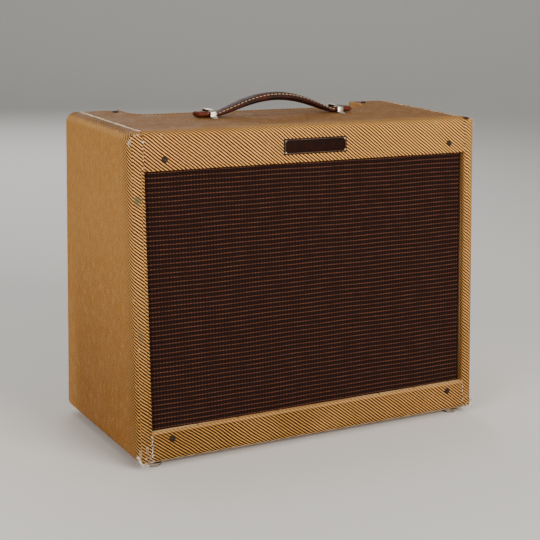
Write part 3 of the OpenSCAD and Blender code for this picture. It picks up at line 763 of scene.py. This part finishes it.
def seam_paths():
    """(points, surface normal, how frayed, share of it showing) for every visible cloth seam."""
    up = Vector((0, 0, 1))
    gap = 0.0005             # left free beside the opening
    top_front = front(0, 0, CAB_H).y + FRONT_R
    top_run = Y_REAR - 0.004 - top_front
    result = []
    for s, fray, shown in ((-1, 0.9, 1), (1, 0.6, 0.55)):
        x = s * INNER_X
        top = [Vector((x, top_front + top_run * f, Z_TOP)) for f in shares(60)]
        result.append((top, up, fray, shown))
        arc = []
        for f in shares(8):
            dz, dy = polar(FRONT_R, pi / 2 * f)
            arc.append(front(x, FRONT_R - dy, CAB_H - FRONT_R + dz))
        result.append((arc, (up + FRONT_OUT).normalized(), fray, shown))
        for z0, z1, wear_and_highlight, part in ((OPEN_HIGH + gap, CAB_H - FRONT_R, 0.05, 0.2),
                                     (FRONT_R, OPEN_LOW - gap, *((0.25, 0.6) if s < 0 else (0.1, 0.35)))):
            line = [front(x, 0, z0 + (z1 - z0) * f) for f in shares(20)]
            result.append((line, FRONT_OUT, wear_and_highlight, part))
    return result


def fibre(start, direction, normal, lengths, radii):
    """One loose thread, arched a little off the cloth. lengths and radii are the ranges to draw from."""
    length, radius = RNG.uniform(*lengths), RNG.uniform(*radii)
    lift = length * RNG.uniform(0.05, 0.3)
    pts = [start + direction * length * f + normal * (0.00015 + lift * sin(pi * min(f * 0.8, 1)))
           for f in (0, 0.35, 0.7, 1)]
    return tube(pts, radius, 4, taper=lambda f: 1 - 0.6 * f)


def any_way(normal):
    """A random direction in the plane across normal."""
    return normal.cross(Vector([RNG.uniform(-1, 1) for _ in range(3)])).normalized()


def seam_band(pts, normal, across, fray, shown):
    """A low, ragged strip of bare threads along a seam, with stretches left out."""
    section = ((-1, 0.00006), (-0.4, 0.00036), (0.4, 0.00036), (1, 0.00006))    # share of the width, height
    verts = []
    for p in pts:
        width = (0.0003 + 0.0007 * fray) * RNG.uniform(0.55, 1.3)
        aside = across * RNG.uniform(-0.0003, 0.0003)
        for f, h in section:
            verts.append(p + aside + across * width * f + normal * h * RNG.uniform(0.8, 1.2))
    quads = grid(len(pts), len(section))
    each = len(section) - 1
    faces = []
    for i in range(len(pts) - 1):
        if RNG.random() <= shown:
            faces += quads[i * each:(i + 1) * each]
    return verts, faces


def build_seams():
    threads, bands = [], []
    for pts, normal, fray, shown in seam_paths():
        total = sum((b - a).length for a, b in zip(pts, pts[1:]))
        along = (pts[-1] - pts[0]).normalized()
        across = normal.cross(along).normalized()
        bands.append(seam_band(pts, normal, across, fray, shown))
        for _ in range(int(total / MM * 2.2 * fray) + 4):
            f = RNG.random() * (len(pts) - 1)
            i = int(f)
            p = pts[i].lerp(pts[min(i + 1, len(pts) - 1)], f - i)
            a = RNG.uniform(-1, 1)
            d = (across * RNG.choice((-1, 1)) * cos(a) + along * sin(a)).normalized()
            threads.append(fibre(p, d, normal, (0.001, 0.003), (0.00009, 0.00017)))
    # chafed corners, heaviest at the lower left
    reach = EDGE_R * 0.93
    for x, low, count in ((-1, True, 460), (1, True, 280), (-1, False, 70), (1, False, 60)):
        for _ in range(count):
            a = RNG.uniform(0, pi / 2)
            h = EDGE_R - reach * cos(a)
            p = front(x * (HALF_W - EDGE_R + reach * sin(a)), FRONT_R * RNG.uniform(0.12, 0.55),
                      h if low else CAB_H - h)
            n = (FRONT_OUT + Vector((x * sin(a), 0, -cos(a) if low else cos(a)))).normalized()
            threads.append(fibre(p - n * 0.0003, any_way(n), n, (0.0012, 0.0034), (0.0001, 0.0002)))
    # loose ends on the front beside the lower corners
    for s, count in ((-1, 70), (1, 22)):
        for _ in range(count):
            p = front(s * (INNER_X + RNG.uniform(-0.002, 0.01)), 0, 0.005 + 0.022 * RNG.random() ** 2)
            threads.append(fibre(p, any_way(FRONT_OUT), FRONT_OUT, (0.001, 0.0026), (0.00012, 0.00024)))
    add("seam_bands", merge(bands), FRAY)
    add("seam_threads", merge(threads), FRAY)


build_seams()

# ---- grille cloth


def build_grille():
    """The cloth's rows follow the ribs, six to a rib, and it sways and bellies a little."""
    half = box("grille_cloth")[1].x
    face = 0.007            # depth behind the front plane
    z0, z1 = 0.022, 0.382
    cols = 150
    rows = int((z1 - z0) / GRILLE_PITCH * 6)
    verts, uv = [], []
    for r in range(rows + 1):
        z = z0 + (z1 - z0) * r / rows
        phase = ((z - OPEN_LOW) / GRILLE_PITCH) % 1
        rib = max(0, 1 - abs(phase - 0.5) / 0.17)
        for c in range(cols + 1):
            x = -half + 2 * half * c / cols
            sway = 0.00032 * sin(x * 21 + z * 9) + 0.00022 * sin(x * 57 + z * 31)
            belly = 0.0005 * sin(pi * c / cols) * sin(pi * r / rows)
            verts.append(front(x, face - 0.00045 * rib - belly, z + sway))
            uv.append((x / MM, (z - OPEN_LOW) / MM))
    shape = (verts, grid(rows + 1, cols + 1))
    thicken(add("grille_weave", shape, GRILLE, uv=uv, replaces="grille_cloth"), 0.0007, -1)


build_grille()

# ---- nameplate


def build_nameplate():
    """A blank plate with a raised border and a nail in each corner."""
    lo, hi = box("nameplate")
    mid_z = (FRONT_INV @ ((lo + hi) / 2)).z
    w = (hi.x - lo.x) / 2
    h = (hi.z - lo.z) / 2 / cos(SLANT) - 0.00005
    m = FRONT_M @ shift(0, -0.0005, mid_z)
    add("plate_body", block(m, (2 * w, 0.0009, 2 * h), 0.0003), PLATE, replaces="nameplate")
    rim_w, rim_h = w - 0.0016, h - 0.0016
    line, lift, bevel = 0.0006, 0.0003, 0.0001
    rim = [block(m @ shift(0, -0.00052, z * rim_h), (2 * rim_w, lift, line), bevel) for z in SIDES]
    rim += [block(m @ shift(x * rim_w, -0.00052, 0), (line, lift, 2 * rim_h), bevel) for x in SIDES]
    add("plate_rim", merge(rim), PLATE_EDGE)
    nail = [(0, 0.0009), (0.0006, 0.0008), (0.0012, 0.0005), (0.0015, 0.0001), (0.0015, -0.0002), (0, -0.0002)]
    inset = 0.0026
    nails = [lathe(nail, FRONT_M @ shift(x * (w - inset), -0.0009, mid_z + z * (h - inset)) @ spin(pi / 2, "X"), 20)
             for x in SIDES for z in SIDES]
    add("plate_nails", merge(nails), NICKEL, replaces="nameplate_nails")


build_nameplate()

# ---- handle
STRAP_LO, STRAP_HI = box("handle_strap")
LOOP_LO, LOOP_HI = box("handle_loops")
ARCH_HALF = 0.088        # the strap lies flat beyond this
ARCH_POWER = 1.35
STITCH_PITCH = 0.0056


def point_along(line, lengths, d):
    """The point at distance d along a line whose points lie at the given lengths."""
    for j in range(len(line) - 1):
        if lengths[j + 1] >= d:
            return line[j].lerp(line[j + 1], (d - lengths[j]) / (lengths[j + 1] - lengths[j]))
    return line[-1]


def strap_section(x, half_l):
    """Rise as a share, rise's slope, half thickness, half width and lift of the folded end at x."""
    f = 0 if abs(x) > ARCH_HALF else (1 - (x / ARCH_HALF) ** 2) ** ARCH_POWER
    slope = -ARCH_POWER * f ** (1 - 1 / ARCH_POWER) * 2 * x / ARCH_HALF ** 2 if f > 0 else 0
    # the strap is folded back under itself outside the loops
    fold = 0.001 * min(1, max(0, (abs(x) - LOOP_HI.x) / 0.003))
    pad = 0.0026 + 0.0026 * f ** 0.6 + fold
    width = 0.0092 + 0.002 * min(1, f * 2.2)
    end, rounding = half_l - abs(x), 0.003
    if end < rounding:
        width *= 0.9 + 0.1 * sqrt(max(0, 1 - ((rounding - end) / rounding) ** 2))
    if end <= 0.0008:
        pad *= 0.88
    return f, slope, pad, width, fold


def build_handle():
    """Two-ply leather strap: flat stitched ends under the loops, padded in the middle."""
    y_mid = (STRAP_LO.y + STRAP_HI.y) / 2
    half_l = STRAP_HI.x
    base_z = STRAP_LO.z + 0.0025
    rise = STRAP_HI.z - STRAP_LO.z - 0.0075
    steps, ring = 96, 28
    flange = 0.62            # share of the width from which the section thins out to its flat edges
    verts = []
    seams = {-1: [], 1: []}
    for i in range(steps + 1):
        x = -half_l + 2 * half_l * i / steps
        f, slope, pad, width, fold = strap_section(x, half_l)
        z = base_z + rise * f + fold
        tangent = Vector((1, 0, rise * slope)).normalized()
        up = Vector((-tangent.z, 0, tangent.x))
        for k in range(ring):
            a = TAU * k / ring
            c, s = cos(a), sin(a)
            y = width * copysign(abs(c) ** 0.75, c)
            crown = 1 if abs(y) < width * flange else max(0.42, 1 - (abs(y) / width - flange) * 1.7)
            h = pad * copysign(abs(s) ** 0.8, s) * (0.55 + 0.45 * crown)
            verts.append(Vector((x, y_mid + y, z)) + up * h)
        for sgn in SIDES:
            seams[sgn].append(Vector((x, y_mid + sgn * width * 0.8, z)) + up * pad * 0.6)
    faces = grid(steps + 1, ring, ring=True, caps=True, flip=True)
    add("strap_leather", (verts, faces), LEATHER, "handle", replaces="handle_strap")
    stitches = []
    lift = Vector((0, 0, 0.00035))
    for line in seams.values():
        lengths = [0]
        for a, b in zip(line, line[1:]):
            lengths.append(lengths[-1] + (b - a).length)
        at = STITCH_PITCH * 2.5
        while at < lengths[-1] - STITCH_PITCH * 2.5:
            a, b = (point_along(line, lengths, d) for d in (at, at + STITCH_PITCH * 0.5))
            path = [a - lift * 1.6, a + lift * 0.5, (a + b) / 2 + lift, b + lift * 0.5, b - lift * 1.6]
            stitches.append(tube(path, 0.00055, 6))
            at += STITCH_PITCH
    add("strap_stitches", merge(stitches), STITCH, "handle")


def loop_outline(foot, inner, height, gauge):
    """Middle line of a loop, from one foot over the strap to the other, as (y, z) above the top."""
    r = 0.003
    y_up = inner + gauge / 2
    half = [(foot, gauge / 2 + 0.0001), (inner + 0.0022, gauge / 2 + 0.0001), (inner + 0.001, gauge / 2 + 0.0006),
            (y_up, 0.0024), (y_up, height - r)]
    for k in range(1, 6):
        a = k * pi / 10
        half.append((y_up - r + r * cos(a), height - gauge / 2 - r + r * sin(a)))
    return [(-y, z) for y, z in half] + half[::-1]


def build_loops():
    """Bent nickel straps with rounded shoulders and punched feet, screwed to the top."""
    parts, screws = [], []
    y_mid = (LOOP_LO.y + LOOP_HI.y) / 2
    inner = (STRAP_HI.y - STRAP_LO.y) / 2 + 0.0006
    foot = (LOOP_HI.y - LOOP_LO.y) / 2
    half_w, gauge = 0.0045, 0.0013
    section = ((-1, -0.5), (-1, 0.35), (-0.86, 0.5), (0.86, 0.5), (1, 0.35), (1, -0.5))
    screw = [(0, 0.0016), (0.0012, 0.0015), (0.0024, 0.001), (0.0032, 0.0002), (0.0032, -0.0001), (0, -0.0001)]
    outline = loop_outline(foot, inner, LOOP_HI.z - Z_TOP, gauge)
    n = len(outline)
    for s in SIDES:
        x = s * (LOOP_HI.x - half_w)
        verts = []
        for i, (y, z) in enumerate(outline):
            a = Vector((0,) + outline[max(i - 1, 0)])
            b = Vector((0,) + outline[min(i + 1, n - 1)])
            d = (b - a).normalized()
            normal = Vector((0, -d.z, d.y))
            taper = 1
            if abs(y) > inner + 0.004:
                taper = sqrt(max(0.05, 1 - ((abs(y) - inner - 0.004) / (foot - inner - 0.0035)) ** 4))
            for px, pn in section:
                verts.append(Vector((x + px * half_w * taper, y_mid + y, Z_TOP + z)) + normal * gauge * pn)
        parts.append((verts, grid(n, len(section), ring=True, caps=True, flip=True)))
        for side in SIDES:
            m = shift(x, y_mid + side * (inner + 0.0059), Z_TOP + 0.0012) @ spin(RNG.uniform(0, 3), "Z")
            screws.append(lathe(screw, m, 28))
            screws.append(block(m @ shift(0, 0, 0.00145), (0.0056, 0.0007, 0.0004), 0.0001))
    add("loop_straps", merge(parts), NICKEL, replaces="handle_loops")
    add("loop_screw_heads", merge(screws), NICKEL, replaces="handle_loop_screws")


build_handle()
build_loops()

# ---- control panel
PANEL_FLIP = spin(pi, "Z")      # the panel is read from behind the cabinet


def panel_at(pos, lift=0):
    return axis_matrix(Vector(pos) + PANEL_N * lift, PANEL_N)


def build_knob(key):
    """Pointer knob: round skirt, tapered beak and a white line."""
    m = panel_at(JOINTS[key + "_turn"]["pos_m"]) @ PANEL_FLIP
    skirt = lathe([(0.0042, 0.0044), (0.0094, 0.0044), (0.0095, 0.005), (0.0094, 0.0075), (0.0088, 0.0083),
                   (0, 0.0086)], m, 72)
    reach, tail = 0.0158, 0.0088
    outline = []
    for f in shares(24):
        w = 0.005 * (1 - max(0, (f - 0.3) / 0.7) ** 1.15 * 0.8) * min(1, 0.72 + f * 1.6)
        outline.append((w, -tail + (reach + tail) * f))
    outline += [(-w, y) for w, y in outline[::-1]]
    n = len(outline)
    levels = [(0.008, 1), (0.0128, 0.92), (0.0142, 0.8), (0.0148, 0.58)]    # height, width
    verts = [m @ Vector((w * k, y * (0.93 + 0.07 * k) if y < 0 else y * (0.96 + 0.04 * k), z))
             for z, k in levels for w, y in outline]
    faces = grid(len(levels), n, ring=True)
    faces.append([(len(levels) - 1) * n + i for i in range(n)])
    name = "pointer_" + key
    add(name, merge([skirt, (verts, faces)]), KNOB, key, replaces="knob_" + key)
    line = block(m @ shift(0, reach * 0.66, 0.01484), (0.0009, reach * 0.56, 0.0002), 0.00005)
    add(name + "_line", line, WHITE_INK, key)


def numeral(value, matrix, size):
    curve = bpy.data.curves.new("n", "FONT")
    curve.body = str(value)
    curve.size = size
    curve.align_x = "CENTER"
    curve.align_y = "CENTER"
    curve.extrude = 0.00004
    obj = link("n", curve)
    bpy.context.view_layer.update()
    mesh = bpy.data.meshes.new_from_object(obj.evaluated_get(bpy.context.evaluated_depsgraph_get()))
    bpy.data.objects.remove(obj)
    return [matrix @ v.co for v in mesh.vertices], [list(p.vertices) for p in mesh.polygons]


def build_panel_marks():
    """Dial numbers 1 to 12 round each knob, and numbers and rings at the jacks."""
    parts = []
    dial_r, last, sweep = 0.0181, 12, 300
    for key in KNOBS:
        m = panel_at(JOINTS[key + "_turn"]["pos_m"], 0.00008) @ PANEL_FLIP
        for k in range(last):
            a = radians(-sweep / 2 + sweep * k / (last - 1))
            parts.append(numeral(k + 1, m @ shift(dial_r * sin(a), dial_r * cos(a), 0), 0.0034))
    ring = [(0.0086, 0), (0.0086, 0.00008), (0.009, 0.00008), (0.009, 0)]
    for i in range(1, 5):
        m = panel_at(MOUNTS["input_jack_%d" % i]["pos_m"], 0.00006)
        parts.append(numeral(i, m @ PANEL_FLIP @ shift(0, 0.0145, 0), 0.0042))
        parts.append(lathe(ring, m, 48))
    add("dial_marks", merge(parts), BLACK_INK, smooth=False)


def build_jewel():
    """Faceted lens of the pilot lamp, on the panel's line through the knobs."""
    lo, hi = box("pilot_jewel")
    _, y, z = JOINTS["tone_turn"]["pos_m"]
    gem = lathe([(0.005, 0.0018), (0.0066, 0.0052), (0.0064, 0.006), (0.0046, 0.0082), (0.0026, 0.0091),
                 (0, 0.0091)], panel_at(((lo.x + hi.x) / 2, y, z)), 12)
    add("jewel_gem", gem, JEWEL, smooth=False, replaces="pilot_jewel")


for key in KNOBS:
    build_knob(key)
build_panel_marks()
build_jewel()

# ---- valves


def valve_plate(m, r, low, high):
    """Ribbed, winged anode from low to high."""
    around = 40
    half = (low + high) / 2
    outline = []
    for k in range(around):
        x, y = polar(r, TAU * k / around)
        outline.append((x * (1 + 0.34 * abs(x / r) ** 6), y * 0.72))
    levels = [(low, 1.05), (low + 0.002, 0.97), (half - 0.001, 0.97), (half, 1.05), (half + 0.001, 0.97),
              (high - 0.002, 0.97), (high, 1.05)]    # height, share of the outline
    verts = [m @ Vector((x * k, y * k, z)) for z, k in levels for x, y in outline]
    return verts, grid(len(levels), around, ring=True)


def build_valve(name, x, y, z_top, radius, length, miniature, replaces):
    """Glass envelope, base, plate structure, micas and getter flash, hanging from its socket."""
    m = shift(x, y, z_top) @ spin(pi, "X")
    base_h = 0.015
    r = radius - 0.0002
    start = 0.003 if miniature else base_h - 0.001
    dome = r * 0.8 if miniature else r
    outer = [(r * 0.93, start), (r * 0.93, start + 0.001), (r, start + 0.006), (r, length - dome)]
    for k in range(1, 9):
        a = k * pi / 16
        outer.append((r * cos(a), length - dome + (dome - 0.0004) * sin(a)))
    if miniature:    # its pip
        outer = outer[:-1] + [(0.0022, length - 0.0022), (0.0009, length - 0.0004), (0, length - 0.0002)]
    inner = [(max(q - 0.0009, 0), z - (0.0007 if z > length * 0.6 else 0)) for q, z in outer][::-1]
    add(name + "_glass", lathe(outer + inner, m, 56), GLASS, replaces=replaces)
    plate_r = r * 0.56
    low, high = start + 0.012, length * 0.72
    parts = [valve_plate(m, plate_r, low, high)]
    for s in SIDES:
        rod = [m @ Vector((s * plate_r * 0.5, 0, z)) for z in (start, high + 0.005)]
        parts.append(tube(rod, 0.0006, 8))
    add(name + "_plate", merge(parts), ELECTRODE)
    mica = [lathe([(0, z), (r * 0.8, z), (r * 0.8, z + 0.0004), (0, z + 0.0004)], m, 30)
            for z in (low - 0.001, high + 0.0015)]
    add(name + "_mica", merge(mica), WHITE_INK)
    flash = [(q - 0.0011, z - 0.0009) for q, z in outer[4:] if q > 0.003]
    if len(flash) > 2:
        add(name + "_getter", lathe(flash, m, 48), GETTER)
    if not miniature:
        base = lathe([(0, 0.0006), (r * 0.9, 0.0006), (r * 0.95, 0.002), (r * 0.95, base_h - 0.002),
                      (r * 0.99, base_h), (r * 0.92, base_h + 0.0006)], m, 56)
        add(name + "_base", base, PHENOLIC)


def valve_row():
    for node, count in (("preamp_tubes", 2), ("power_tubes", 2), ("rectifier_tube", 1)):
        lo, hi = box(node)
        radius = (hi.y - lo.y) / 2
        for i, x in enumerate([lo.x + radius, hi.x - radius] if count == 2 else [(lo.x + hi.x) / 2]):
            build_valve("%s_%d" % (node, i), x, (lo.y + hi.y) / 2, hi.z, radius, hi.z - lo.z,
                        node == "preamp_tubes", None if i else node)


valve_row()

# ---- loudspeaker
SPK = axis_matrix(front(0, 0, (OPEN_LOW + OPEN_HIGH) / 2), CONE_AXIS)
SPK_FACE = 0.017         # from the front plane to the loudspeaker's rim


def sheet(profile, thick, seg, shrink=1):
    """A revolved sheet: the profile and, thick behind it, the way back."""
    return lathe(profile + [(r * shrink, z + thick) for r, z in profile[::-1]], SPK, seg)


def build_speaker():
    """Ribbed paper cone with a dust cap, two-roll surround and a corrugated spider."""
    r_out, r_neck = 0.131, 0.0136
    z0, z1 = SPK_FACE + 0.002, 0.0505
    rib_from, rib_to, rib_pitch = 0.06, 0.62, 0.08
    body = []
    for f in shares(90):
        z = z0 + (z1 - z0) * f ** 1.06
        if rib_from < f < rib_to:
            z += 0.00035 * sin((f - rib_from) * TAU / rib_pitch)
        body.append((r_out + (r_neck - r_out) * f, z))
    rear = [(r, z + 0.0009) for r, z in body[::-1]]
    add("cone_paper", lathe(body + rear + [body[0]], SPK, 128), CONE, "cone", replaces="speaker_cone")
    ball = 0.066
    mid = 0.044 + ball * cos(radians(35))
    cap = []
    for f in shares(24):
        deep, r = polar(ball, radians(35.2) * (1 - f))
        cap.append((r, mid - deep))
    add("cone_dust_cap", sheet(cap, 0.0006, 96, 0.985), CONE, "cone")
    edge = [(0.1314 + 0.0048 * f, SPK_FACE + 0.0023 - 0.0009 * sin(f * pi * 4)) for f in shares(40)]
    add("cone_surround", sheet(edge, 0.0006, 128), CONE, replaces="speaker_surround")
    wave = [(0.0146 + 0.0434 * f, 0.0574 - 0.0008 * sin(f * pi * 14) * min(1, (1 - f) * 8)) for f in shares(120)]
    add("spider_disc", sheet(wave, 0.0004, 96), SPIDER, replaces="speaker_spider")
    coil_r, around = 0.01345, 40
    turns = []
    for k in range(20):
        z = 0.056 + k * 0.0006
        circle = [SPK @ Vector((*polar(coil_r, TAU * q / around), z)) for q in range(around)]
        turns.append(tube(circle, 0.00028, 5, closed=True))
    add("coil_winding", merge(turns), COPPER, "cone", replaces="voice_coil")
    former = lathe([(0.0131, 0.0506), (0.0131, 0.0706), (0.0129, 0.0706), (0.0129, 0.0506)], SPK, 64)
    add("coil_former", former, SPIDER, "cone")


build_speaker()

# ---- cord and lead
CORD_R = 0.0032


def build_cord():
    """Mains cord loosely coiled on the cabinet floor, with a moulded two-pin plug."""
    lo, hi = box("power_cord")
    x_mid, y_mid, z0 = hi.x - 0.0584, (lo.y + hi.y) / 2, lo.z + 0.0042
    turns, steps, pitch = 3.6, 200, 0.0064
    coil = []
    for k in range(steps + 1):
        a = TAU * turns * k / steps
        r = 0.0525 + 0.0022 * sin(a * 0.73) + 0.001 * sin(a * 2.1)
        coil.append(Vector((x_mid + r * cos(a), y_mid + r * sin(a),
                            z0 + pitch * a / TAU + 0.0006 * sin(a * 1.3))))
    add("cord_coil", tube(coil, CORD_R, 12), CORD, replaces="power_cord")
    tail = [coil[0], coil[0] + Vector((0.001, -0.01, 0))]
    tail += [Vector((x, y, z0 + dz)) for x, y, dz in
             ((0.136, 0.026, 0), (0.115, -0.002, 0), (0.07, -0.013, 0), (0.02, 0.016, 0),
              (-0.004, 0.026, 0.003), (-0.02, 0.03, 0.006))]
    add("cord_tail", tube(spline(tail, 10) + [tail[-1]], CORD_R, 12), CORD)
    m = shift(-0.02, 0.03, lo.z + 0.0122) @ spin(pi / 2, "Y") @ spin(pi, "X")
    plug = lathe([(0.0034, -0.01), (0.0048, -0.006), (0.005, 0), (0.0105, 0.008), (0.0108, 0.012),
                  (0.0098, 0.014), (0.0108, 0.016), (0.0108, 0.03), (0.01, 0.032), (0, 0.032)], m, 40)
    add("plug_body", plug, PHENOLIC)
    pins = [block(m @ shift(0, s * 0.0064, 0.04), (0.0016, 0.0058, 0.017), 0.0003) for s in SIDES]
    add("plug_pins", merge(pins), NICKEL)


def build_lead():
    """Twisted pair from the output transformer up to the loudspeaker terminals."""
    start = Vector((-0.15, -0.01, box("speaker_lead")[0].z + 0.001))
    end = SPK @ Vector((-0.05, 0.04, 0.0645))
    stops = [start, start + Vector((0.004, -0.004, 0.03)), start + Vector((0.022, -0.016, 0.066)),
             end + Vector((-0.016, 0.012, -0.016)), end]
    twist_r, twist = 0.0013, 0.7     # offset of each wire, and its turn from one point to the next
    middle = spline(stops, 16)
    wires = []
    for first in (0, pi):
        turned = [first + i * twist for i in range(len(middle))]
        wires.append(tube([p + Vector((cos(a), sin(a), 0)) * twist_r for p, a in zip(middle, turned)],
                          0.0011, 8))
    add("lead_pair", merge(wires), BRAID, replaces="speaker_lead")
    m = axis_matrix(end, CONE_AXIS)
    add("lead_terminal", block(m, (0.022, 0.01, 0.0024), 0.0005), PHENOLIC)
    lugs = [block(m @ shift(s * 0.007, 0, 0.002), (0.003, 0.012, 0.0008), 0.0002) for s in SIDES]
    add("lead_lugs", merge(lugs), NICKEL)


build_cord()
build_lead()

# ---- carried-over CAD nodes
paint(PINE_Z, 0, "left_side_board", "right_side_board", "back_cleats")
paint(PINE_X, 0, "top_board", "bottom_board", "front_top_rail", "front_bottom_rail")
paint(PLY, 0, "baffle_board")
paint(DARK_STEEL, 0.0002, "baffle_screws", "chassis_screws")
paint(NICKEL, 0.0002, "back_panel_screws", "glide_feet", "input_jacks", "panel_nuts", "pilot_lamp", "power_toggle",
      "ground_toggle")
paint(ZINC, 0.0002, "baffle_nuts", "speaker_bolts", "pots", "toggle_switches", "shaft_tone", "shaft_volume_1",
      "shaft_volume_2")
paint(CHROME, 0.0006, "chassis")
paint(FIBRE, 0.0003, "eyelet_board")
paint(WAX, 0.0006, "board_parts")
paint(PHENOLIC, 0.0004, "tube_sockets", "fuse_holder", "fuse_cap")
paint(GLASS, 0, "fuse")
paint(BLACK, 0.0015, "power_transformer", "output_transformer")
paint(BASKET, 0.0005, "speaker_basket")
paint(MAGNET, 0.0012, "speaker_magnet")

# ---- stage, light, camera
CAMERA_YAW, CAMERA_PITCH, CAMERA_ROLL = 29.79, 13.95, 1.68
CAMERA_BACK = 1.3455     # in front of the cabinet's lower front edge
CAMERA_LEFT = 0.8498
CAMERA_UP = 0.6167       # above the cabinet's underside
LENS = 86.2
CENTRE = (0, 0, 0.2)
WARM = (1, 0.95, 0.88)


def stage():
    """Floor that curves up into a backdrop, square to the camera."""
    size, back, bend, rise, rows = 6, 3.4, 1.5, 3, 24
    verts = []
    for k in range(rows):
        f = k / (rows - 1)
        if f < 0.5:
            y, z = -size + (size + back) * f / 0.5, 0
        else:
            a = (f - 0.5) / 0.5 * pi / 2
            y, z = back + bend * sin(a), bend - bend * cos(a) + (rise if f == 1 else 0)
        verts += [(-size, y, z), (size, y, z)]
    mesh = bpy.data.meshes.new("stage_floor")
    mesh.from_pydata(verts, [], grid(rows, 2))
    mesh.shade_smooth()
    mesh.materials.append(Tree("stage_floor", (0.78, 0.77, 0.75)).out(rough=0.8))
    obj = link("stage_floor", mesh)
    obj.matrix_world = spin(radians(-CAMERA_YAW), "Z")


def area_light(name, pos, size, watts, color=(1, 1, 1)):
    light = bpy.data.lights.new(name, "AREA")
    light.shape = "RECTANGLE"
    light.size, light.size_y = size
    light.energy = watts
    light.color = color
    aim = (Vector(CENTRE) - Vector(pos)).normalized()
    link(name, light).matrix_world = shift(*pos) @ aim.to_track_quat("-Z", "Y").to_matrix().to_4x4()


def camera():
    yaw, pitch, roll = (radians(a) for a in (CAMERA_YAW, CAMERA_PITCH, CAMERA_ROLL))
    forward = Vector((sin(yaw) * cos(pitch), cos(yaw) * cos(pitch), -sin(pitch)))
    right = Vector((cos(yaw), -sin(yaw), 0))
    up = right.cross(forward)
    r = right * cos(roll) + up * sin(roll)
    u = up * cos(roll) - right * sin(roll)
    cam = bpy.data.cameras.new("camera")
    cam.lens = LENS
    cam.sensor_width = 36
    cam.clip_start = 0.02
    cam.clip_end = 60
    obj = link("camera", cam)
    m = Matrix((r, u, -forward)).transposed().to_4x4()
    m.translation = Vector((-CAMERA_LEFT, Y_FRONT - CAMERA_BACK, Z_LOW + CAMERA_UP))
    obj.matrix_world = m
    bpy.context.scene.camera = obj


stage()
camera()
area_light("key", (0.7, -2.3, 1.2), (1.4, 1), 64, WARM)
area_light("fill", (-2.3, -1, 1.2), (1.4, 1.4), 34, WARM)
area_light("top", (0.1, 0.3, 2.4), (1.8, 1.8), 12, (1, 0.96, 0.9))
area_light("rear", (0.4, 2.6, 1.5), (1.8, 1.2), 22)
world = bpy.data.worlds.new("studio")
world.use_nodes = True
background = world.node_tree.nodes["Background"].inputs
background[0].default_value = (0.96, 0.95, 0.93, 1)
background[1].default_value = 0.28
bpy.context.scene.world = world
